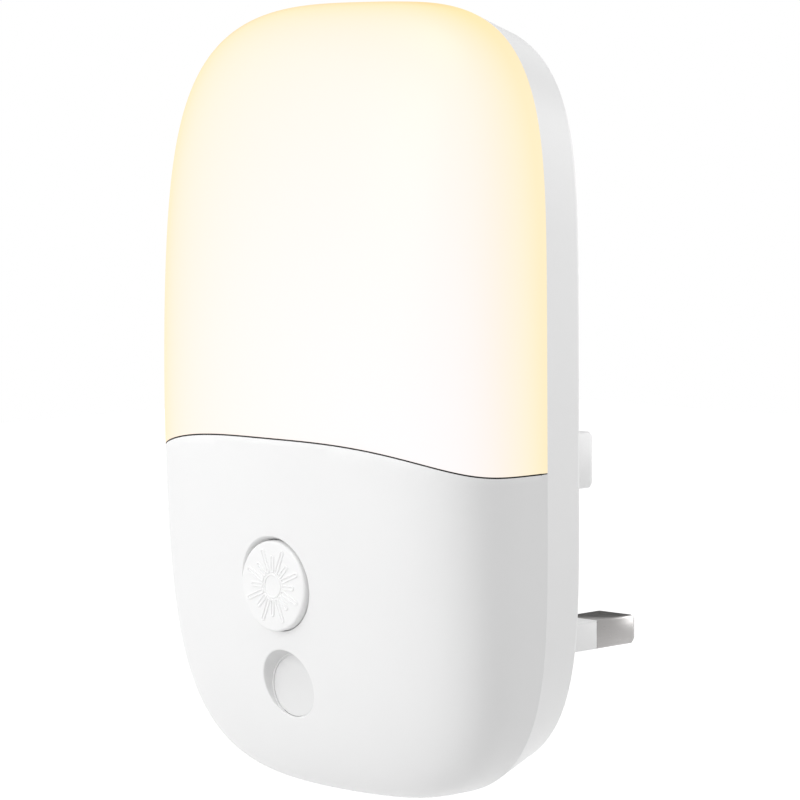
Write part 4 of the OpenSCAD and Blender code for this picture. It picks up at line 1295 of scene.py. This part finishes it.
@dataclass
class RearHousing:
    """The rear casing: its side wall, its back with the plug base, the pin slots and screw wells."""

    base_width: float = 37.0
    base_bottom: float = -11.49
    base_top: float = 33.715
    base_corner: float = 9.0
    edge_round: float = 0.9
    foot_round: float = 0.3
    face_round: float = 1.0
    columns: int = 360
    head_bore: float = 2.7
    screw_hole: float = 1.5
    well_wall: float = 1.1
    well_floor: float = 2.0
    well_depth: float = 2.6
    well_root: float = 0.5
    well_chamfer: float = 0.35
    slot_gap: float = 0.09
    slot_depth: float = 4.0
    far: float = 120.0

    def _reach(self, inside: Callable[[np.ndarray, np.ndarray], np.ndarray]) -> np.ndarray:
        """Distance from the plug base's middle to an outline, along each column.

        Args:
            inside: says whether places are within the outline.

        Returns:
            The distances.
        """
        turn = self._turn()
        middle = self._middle()

        def out(r: np.ndarray) -> np.ndarray:
            """Positive past the outline."""
            return np.where(inside(r * np.cos(turn), middle + r * np.sin(turn)), -1.0, 1.0)

        return root(np.zeros(self.columns), np.full(self.columns, self.far), out)

    def _turn(self) -> np.ndarray:
        """Direction of each column."""
        return 2 * math.pi * (np.arange(self.columns) + 0.5) / self.columns

    def _middle(self) -> float:
        """Height of the plug base's middle."""
        return (self.base_bottom + self.base_top) / 2

    def _casing(self, share: float, trim: float) -> np.ndarray:
        """Measures the casing's outline.

        Args:
            share: its size as a share of the front edge's.
            trim: how much is taken off all round.

        Returns:
            Its reach along each column.
        """

        def inside(x: np.ndarray, z: np.ndarray) -> np.ndarray:
            """Whether places are within the outline."""
            height = z - FORM.centre_z
            return np.abs(x) < FORM.half_width(height, trim, share)

        return self._reach(inside)

    def _base(self, inset: float) -> np.ndarray:
        """Measures the plug base's outline.

        Args:
            inset: how much it is drawn in.

        Returns:
            Its reach along each column.
        """
        half_x = self.base_width / 2 - inset
        half_z = (self.base_top - self.base_bottom) / 2 - inset
        corner = self.base_corner - inset

        def inside(x: np.ndarray, z: np.ndarray) -> np.ndarray:
            """Tests places against the rounded rectangle.

            Args:
                x: places along X.
                z: their heights in the frame.

            Returns:
                Whether each is within it.
            """
            dx = np.maximum(0, np.abs(x) - half_x + corner)
            dz = np.maximum(0, np.abs(z - self._middle()) - half_z + corner)
            return np.hypot(dx, dz) < corner

        return self._reach(inside)

    def _rings(self) -> list[tuple[np.ndarray, float]]:
        """Lists the rings from the front edge over the back to the plug's face.

        Returns:
            Reach and Y of each ring.
        """
        quarter = [math.radians(a) for a in (0, 18, 36, 54, 72, 90)]
        back, taper = FORM.back_y, FORM.back_taper
        side_end = back - self.edge_round
        rings = [(self._casing(1 + (taper - 1) * t, 0.0), FORM.rim_y + (side_end - FORM.rim_y) * t)
                 for t in (0, 0.02, 0.25, 0.5, 0.75, 0.95)]
        rings += [(self._casing(taper, self.edge_round * (1 - math.cos(a))),
                   back - self.edge_round * (1 - math.sin(a))) for a in quarter]
        edge = rings[-1][0]
        foot = self._base(-self.foot_round)
        rings += [(edge + (foot - edge) * t, back) for t in (0.05, 0.35, 0.7)]
        rings += [(self._base(-self.foot_round * (1 - math.sin(a))),
                   back + self.foot_round * (1 - math.cos(a))) for a in quarter]
        rings += [(self._base(0.0), (back + self.foot_round) * t - self.face_round * (1 - t))
                  for t in (0.9, 0.5, 0.1)]
        rings += [(self._base(self.face_round * (1 - math.cos(a))),
                   -self.face_round * (1 - math.sin(a))) for a in quarter]
        face = rings[-1][0]
        rings += [(face * t, 0.0) for t in (0.95, 0.6, 0.3, 0.0)]
        return rings

    def build(self, prongs: Sequence[Prong]) -> None:
        """Makes the housing.

        Args:
            prongs: the pins that its plug base has slots for.
        """
        turn, middle = self._turn(), self._middle()
        rings = self._rings()
        points = np.array([np.stack([r * np.cos(turn), np.full(self.columns, y),
                                     middle + r * np.sin(turn)], axis=1) for r, y in rings])
        piece = lay_mesh("rear_housing_shell", points.reshape(-1, 3),
                         grid_faces(len(points), self.columns, True))
        Bench.face_along(piece, 1)
        Bench.modify(piece, "SOLIDIFY", thickness=FORM.housing_wall * MM, offset=-1)
        tubes, cuts = [], []
        top, floor = FORM.back_y, FORM.back_y - self.well_depth
        end = floor - self.well_floor
        outer, lip = self.head_bore + self.well_wall, self.head_bore + self.well_chamfer
        tube = [(outer, top - self.well_root), (outer, end)]
        bore = [(lip, top + OVERRUN), (lip, top), (self.head_bore, top - self.well_chamfer),
                (self.head_bore, floor), (self.screw_hole, floor), (self.screw_hole, end - OVERRUN)]
        for x, z in CASE_WELLS:
            for side in (-1, 1):
                tubes.append(Bench.turn("well", tube, side * x, z))
                cuts.append(Bench.turn("bore", bore, side * x, z))
        cuts += [prong.block("slot", -self.slot_depth, OVERRUN, self.slot_gap) for prong in prongs]
        Bench.combine(piece, Bench.join(*tubes), Join.WELD)
        Bench.combine(piece, Bench.join(*cuts), Join.CUT)
        deliver(Bench.smooth(piece, 30), CASING, "housing_plastic", "rear_housing")


# ---------------------------------------------------------------- button


@dataclass
class PushButton:
    """The round cap with its rounded edge, its flange and stem, and the raised sun."""

    radius: float = 5.95
    skirt: float = 3.4
    flange: float = 6.75
    flange_depth: float = 0.9
    roof: float = 1.4
    bore: float = 4.75
    stem: float = 1.9
    stem_end: float = -32.05
    edge: float = 0.35
    ring: float = 0.27
    ray_start: float = 0.35
    short_ray: float = 0.62
    long_ray: float = 0.8
    rays: int = 16
    ray_width: float = 0.62
    bead: float = 0.12
    bead_steps: int = 3
    rise: float = 0.13
    face_rim: float = 1.0
    side_slope: float = 0.4
    sides: int = 96
    ring_sides: int = 64
    ray_sides: int = 28

    def build(self, face_y: float, z: float) -> None:
        """Makes the cap and its sun.

        Args:
            face_y: Y of the cap's face.
            z: height of its axis in the frame.
        """
        edge = [(self.radius - self.edge * (1 - math.sin(a)), face_y + self.edge * (1 - math.cos(a)))
                for a in [math.radians(d) for d in range(0, 91, 15)]]
        flange_y, roof_y = face_y + self.skirt, face_y + self.roof
        back_y = flange_y + self.flange_depth
        profile = [(self.radius - self.face_rim, face_y), *edge, (self.radius, flange_y),
                   (self.flange, flange_y), (self.flange, back_y), (self.bore, back_y),
                   (self.bore, roof_y), (self.stem, roof_y), (self.stem, self.stem_end)]
        cap = Bench.turn("push_button_cap", profile, 0, z, self.sides)
        # Faces of the side wall get the second material, which is painted shade.
        Bench.add_slots(cap, "face", "side")
        for face in cap.data.polygons:
            if abs(face.normal.y) < self.side_slope:
                face.material_index = 1
        Bench.join(cap, *self.sun(face_y, z))
        deliver(Bench.smooth(cap), BUTTON, "button_plastic", "button_cap", finishes=(CAP_WHITE, CAP_SIDE_PAINTED_SHADE))

    def bead_loop(self, radius: float, stretch: float, face_y: float, z: float) -> bpy.types.Object:
        """Makes one raised line: a circle, pulled out to a long loop and given a round section.

        Args:
            radius: the circle's radius.
            stretch: how far its upper half is pulled up.
            face_y: Y of the cap's face.
            z: height of the circle's middle.

        Returns:
            The raised line as a mesh.
        """
        Bench.clear()
        bpy.ops.mesh.primitive_circle_add(vertices=self.ray_sides if stretch else self.ring_sides,
                                          radius=radius * MM, rotation=(math.pi / 2, 0, 0),
                                          location=(0, (face_y + self.bead - self.rise) * MM, z * MM))
        line = Bench.settle("sun_line")
        if stretch:
            Bench.select(line, lambda p: p.z > z + ROUNDING)
            bpy.ops.transform.translate(value=(0, 0, stretch * MM))
            bpy.ops.object.mode_set(mode="OBJECT")
        Bench.take(line)
        bpy.ops.object.convert(target="CURVE")
        line = bpy.context.object
        line.data.bevel_depth = self.bead * MM
        line.data.bevel_resolution = self.bead_steps
        bpy.ops.object.convert(target="MESH")
        return bpy.context.object

    def sun(self, face_y: float, z: float) -> list[bpy.types.Object]:
        """Makes the ring of the sun and its rays.

        Args:
            face_y: Y of the cap's face.
            z: height of the sun's middle.

        Returns:
            The raised lines.
        """
        lines = [self.bead_loop(self.ring * self.radius - self.bead, 0, face_y, z)]
        half = self.ray_width / 2 - self.bead / 2
        for k in range(self.rays):
            end = self.short_ray if k % 2 == 0 else self.long_ray
            start = self.ray_start * self.radius
            ray = self.bead_loop(half, end * self.radius - start, face_y, z + start)
            Bench.select(ray, lambda p: True)
            bpy.ops.transform.rotate(value=2 * math.pi * k / self.rays, orient_axis="Y",
                                     center_override=(0, face_y * MM, z * MM))
            bpy.ops.object.mode_set(mode="OBJECT")
            lines.append(ray)
        return lines


# ---------------------------------------------------------------- plug pins


@dataclass
class PlugPins:
    """The two metal pins with their sleeves, and the plastic earth pin."""

    width: float = 6.35
    thickness: float = 3.98
    length: float = 17.7
    spacing: float = 22.23
    earth_rise: float = 22.23
    earth_width: float = 7.97
    earth_length: float = 22.73
    sleeve_end: float = 9.3
    sleeve_wall: float = 0.62
    tip_length: float = 1.1
    tip_inset: float = 0.5
    inner_y: float = -5.3
    tail_y: float = -11.5
    edge_round: float = 0.28
    sleeve_round: float = 0.06

    def prongs(self) -> tuple[Prong, Prong, Prong]:
        """Places the pins as a British socket wants them.

        Returns:
            The live, the neutral and the earth pin.
        """
        half_x, half_z = self.width / 2, self.thickness / 2
        return (Prong(self.spacing / 2, 0, half_x, half_z), Prong(-self.spacing / 2, 0, half_x, half_z),
                Prong(0, self.earth_rise, half_z, self.earth_width / 2))

    def _blade(self, name: str, prong: Prong, root_y: float, tip_y: float) -> bpy.types.Object:
        """Makes a straight blade with a bevelled tip.

        Args:
            name: the piece's name.
            prong: where it stands and how thick it is.
            root_y: Y of its root.
            tip_y: Y of its tip.

        Returns:
            The blade with rounded edges.
        """
        shoulder = tip_y - self.tip_length
        blade = prong.block(name, root_y, shoulder)
        Bench.select(blade, lambda p: p.y > shoulder - SAME_LEVEL, faces=True)
        bpy.ops.mesh.extrude_region_move(TRANSFORM_OT_translate={"value": (0, self.tip_length * MM, 0)})
        shrink = (1 - self.tip_inset / prong.half_x, 1, 1 - self.tip_inset / prong.half_z)
        bpy.ops.transform.resize(value=shrink, center_override=(prong.x * MM, tip_y * MM, prong.z * MM))
        bpy.ops.object.mode_set(mode="OBJECT")
        Bench.round_edges(blade, self.edge_round)
        return Bench.smooth(blade, 40)

    def _metal(self, name: str, prong: Prong) -> bpy.types.Object:
        """Makes a metal pin: its bare end, its core inside the sleeve and its tail.

        Args:
            name: the piece's name.
            prong: where it stands and how thick it is.

        Returns:
            The pin.
        """
        pin = self._blade(name, prong, self.sleeve_end, self.length)
        core = prong.block("core", self.tail_y, self.sleeve_end + OVERRUN, -self.sleeve_wall)
        Bench.combine(pin, core, Join.WELD)
        return Bench.smooth(pin, 40)

    def _sleeve(self, name: str, prong: Prong) -> bpy.types.Object:
        """Makes an insulating sleeve as an open tube with its wall's thickness.

        Args:
            name: the piece's name.
            prong: the pin that it goes round.

        Returns:
            The sleeve.
        """
        ends = (self.inner_y, self.sleeve_end)
        tube = prong.block(name, *ends)
        Bench.select(tube, lambda p: min(abs(p.y - end) for end in ends) < SAME_LEVEL, faces=True)
        bpy.ops.mesh.delete(type="FACE")
        bpy.ops.object.mode_set(mode="OBJECT")
        Bench.round_edges(tube, self.edge_round)
        Bench.modify(tube, "SOLIDIFY", thickness=self.sleeve_wall * MM, offset=-1, use_even_offset=True)
        Bench.round_edges(tube, self.sleeve_round, 2, 60)
        return Bench.smooth(tube, 40)

    def build(self) -> None:
        """Makes the three pins and the two sleeves."""
        live, neutral, earth = self.prongs()
        for side, prong in (("live", live), ("neutral", neutral)):
            deliver(self._metal(f"{side}_pin_blade", prong), CASING, "plated_brass", f"{side}_pin")
            deliver(self._sleeve(f"{side}_pin_collar", prong), CASING, "sleeve_plastic",
                    f"{side}_pin_sleeve")
        blade = self._blade("earth_pin_blade", earth, self.inner_y, self.earth_length)
        deliver(blade, CASING, "earth_plastic", "earth_pin")


# ---------------------------------------------------------------- case screws


@dataclass
class CaseScrews:
    """Four pan head screws with a cross recess, down in the wells of the rear housing."""

    head: float = 2.4
    head_height: float = 1.5
    crown: tuple[tuple[float, float], ...] = ((0.9, 0.0), (1.6, 0.08), (2.1, 0.3), (2.35, 0.65))
    shank: float = 1.25
    length: float = 11.0
    point_length: float = 1.0
    point_radius: float = 0.5
    slot: float = 0.36
    slot_reach: float = 1.45
    slot_depth: float = 0.9
    seat: float = -12.1
    sides: int = 48

    def build(self) -> None:
        """Makes one screw and copies it to the other wells."""
        (x, z), *others = [(side * x, z) for x, z in CASE_WELLS for side in (1, -1)]
        top, end = self.seat + self.head_height, self.seat - self.length
        profile = [*((radius, top - drop) for radius, drop in self.crown), (self.head, self.seat),
                   (self.shank, self.seat), (self.shank, end + self.point_length),
                   (self.point_radius, end)]
        screw = Bench.turn("case_screw_set", profile, x, z, self.sides)
        for dx, dz in ((self.slot_reach, self.slot), (self.slot, self.slot_reach)):
            arm = Bench.box("arm", (x - dx, top - self.slot_depth, z - dz),
                            (x + dx, top + OVERRUN, z + dz))
            Bench.combine(screw, arm, Join.CUT)
        copies = []
        for px, pz in others:
            copies.append(add_object("case_screw_copy", screw.data.copy()))
            copies[-1].data.transform(Matrix.Translation(Vector((px - x, 0, pz - z)) * MM))
        Bench.join(screw, *copies)
        deliver(Bench.smooth(screw), CASING, "zinc_screws", "case_screws")


# ---------------------------------------------------------------- inner parts, stage and camera


def dress_cad_nodes() -> None:
    """Gives every CAD node that still shows the finish of its slot."""
    for entry in frame["record"]["subparts"]:
        node = frame["nodes"][entry["node"]]
        if not node.hide_render:
            material = SLOT_FINISHES[entry["material_slot"]].material()
            for slot in node.material_slots:
                slot.material = material
            log.info("%s: %s", entry["node"], material.name)


@dataclass
class Lamp:
    """A soft square lamp that shines at the casing's middle."""

    name: str
    azimuth: float
    elevation: float
    distance: float
    size: float
    level: float
    aim_y: float = -20.0

    def build(self) -> None:
        """Adds the lamp. Its power makes a facing white surface as bright as its level."""
        away = direction(self.azimuth, self.elevation)
        data = bpy.data.lights.new(self.name, "AREA")
        data.shape = "SQUARE"
        data.size = self.size
        data.energy = self.level * math.pi ** 2 * self.distance ** 2
        lamp = add_object(self.name, data)
        lamp.location = Vector((0, self.aim_y, FORM.centre_z)) * MM + away * self.distance
        lamp.rotation_euler = away.to_track_quat("Z", "Y").to_euler()


@dataclass
class Studio:
    """The pale floor, the white world, the lamps and the camera."""

    world_level: float = 0.58
    floor_drop: float = 0.32
    floor_size: float = 6.0
    floor_tone: float = 0.7
    floor_white: float = 0.7
    lamps: tuple[Lamp, ...] = (
        Lamp("front_lamp", -5, 22, 1.2, 0.9, 0.422),
        Lamp("left_lamp", -60, 20, 1.2, 0.9, 0.107),
        Lamp("back_lamp", 169, 6, 1.2, 0.45, 0.29),
        Lamp("top_lamp", 0, 80, 1.2, 0.9, 0.3),
    )
    card_place: Point = (-420.0, 440.0, 60.0)
    card_turn: float = 45.0
    card_size: float = 0.4
    camera_azimuth: float = 45.258
    camera_elevation: float = 4.922
    camera_distance: float = 500.0
    camera_yaw: float = -0.275
    camera_pitch: float = 0.040
    camera_roll: float = -0.407
    lens: float = 168.58

    @staticmethod
    def _seen(sheet: Sheet) -> bpy.types.NodeSocket:
        """Tells rays that see the studio from rays that it lights things by.

        Args:
            sheet: the nodes to add to.

        Returns:
            1 for a ray from the camera, off gloss or through glass, and 0 for light.
        """
        path = sheet.add("ShaderNodeLightPath").outputs
        rays = sheet.math("ADD", path["Is Camera Ray"], path["Is Glossy Ray"])
        return sheet.math("MINIMUM", sheet.math("ADD", rays, path["Is Transmission Ray"]), 1.0)

    def world(self) -> None:
        """Makes the world: white where it is seen, and at a plain level as light."""
        world = bpy.data.worlds.new("studio_world")
        world.use_nodes = True
        bpy.context.scene.world = world
        sheet = Sheet(world.node_tree)
        seen = self._seen(sheet)
        level = sheet.math("ADD", sheet.math("MULTIPLY", seen, 1.0 - self.world_level),
                           self.world_level)
        light = sheet.add("ShaderNodeBackground", Color=(1, 1, 1, 1), Strength=level)
        sheet.add("ShaderNodeOutputWorld", Surface=light.outputs[0])

    def floor(self) -> None:
        """Makes the floor: it takes the shadow, and is white where it is seen."""
        Bench.clear()
        bpy.ops.mesh.primitive_grid_add(x_subdivisions=8, y_subdivisions=8, size=self.floor_size,
                                        location=(0, 0, -self.floor_drop))
        floor = Bench.settle("studio_floor")
        material = bpy.data.materials.new("pale_floor")
        material.use_nodes = True
        sheet = Sheet(material.node_tree)
        strength = sheet.math("MULTIPLY", self._seen(sheet), self.floor_white)
        shader = sheet.add("ShaderNodeBsdfPrincipled", Base_Color=(*[self.floor_tone] * 3, 1),
                           Roughness=0.9, Emission_Color=(1, 1, 1, 1), Emission_Strength=strength)
        sheet.add("ShaderNodeOutputMaterial", Surface=shader.outputs[0])
        floor.data.materials.append(material)

    def card(self) -> None:
        """Hangs a dark card behind the lamp that only gloss sees, so that the metal isn't flat white."""
        Bench.clear()
        bpy.ops.mesh.primitive_grid_add(x_subdivisions=4, y_subdivisions=4, size=self.card_size,
                                        location=tuple(v * MM for v in self.card_place),
                                        rotation=(math.pi / 2, 0, math.radians(self.card_turn)))
        card = Bench.settle("studio_card")
        card.data.materials.append(CARD_BLACK.material())
        for ray in ("camera", "diffuse", "transmission", "volume_scatter", "shadow"):
            setattr(card, f"visible_{ray}", False)

    def camera(self) -> None:
        """Makes the camera and points it."""
        away = direction(self.camera_azimuth, self.camera_elevation)
        place = (Vector((0, FORM.rim_y, FORM.centre_z)) + self.camera_distance * away) * MM
        azimuth = self.camera_azimuth + self.camera_yaw
        away = direction(azimuth, self.camera_elevation + self.camera_pitch)
        right = direction(azimuth + 90, 0)
        axes = Matrix((right, away.cross(right), away)).transposed().to_4x4()
        turn = axes @ Matrix.Rotation(math.radians(self.camera_roll), 4, "Z")
        data = bpy.data.cameras.new("camera")
        data.lens = self.lens
        data.sensor_width = 36
        data.sensor_fit = "HORIZONTAL"
        data.clip_start = 0.01
        camera = add_object("camera", data)
        camera.matrix_world = Matrix.Translation(place) @ turn
        bpy.context.scene.camera = camera

    def build(self) -> None:
        """Makes the whole studio."""
        self.camera()
        self.world()
        self.floor()
        self.card()
        for lamp in self.lamps:
            lamp.build()
        bpy.context.scene.view_settings.view_transform = "Standard"


def main() -> None:
    """Builds the studio and every piece of the night light."""
    logging.basicConfig(level=logging.INFO, format="%(name)s: %(message)s")
    Studio().build()
    shells = FrontShells()
    shells.build()
    pins = PlugPins()
    RearHousing().build(pins.prongs())
    PushButton().build(shells.cap_face, shells.button_z + FORM.centre_z)
    pins.build()
    CaseScrews().build()
    dress_cad_nodes()


if __name__ == "__main__":
    main()
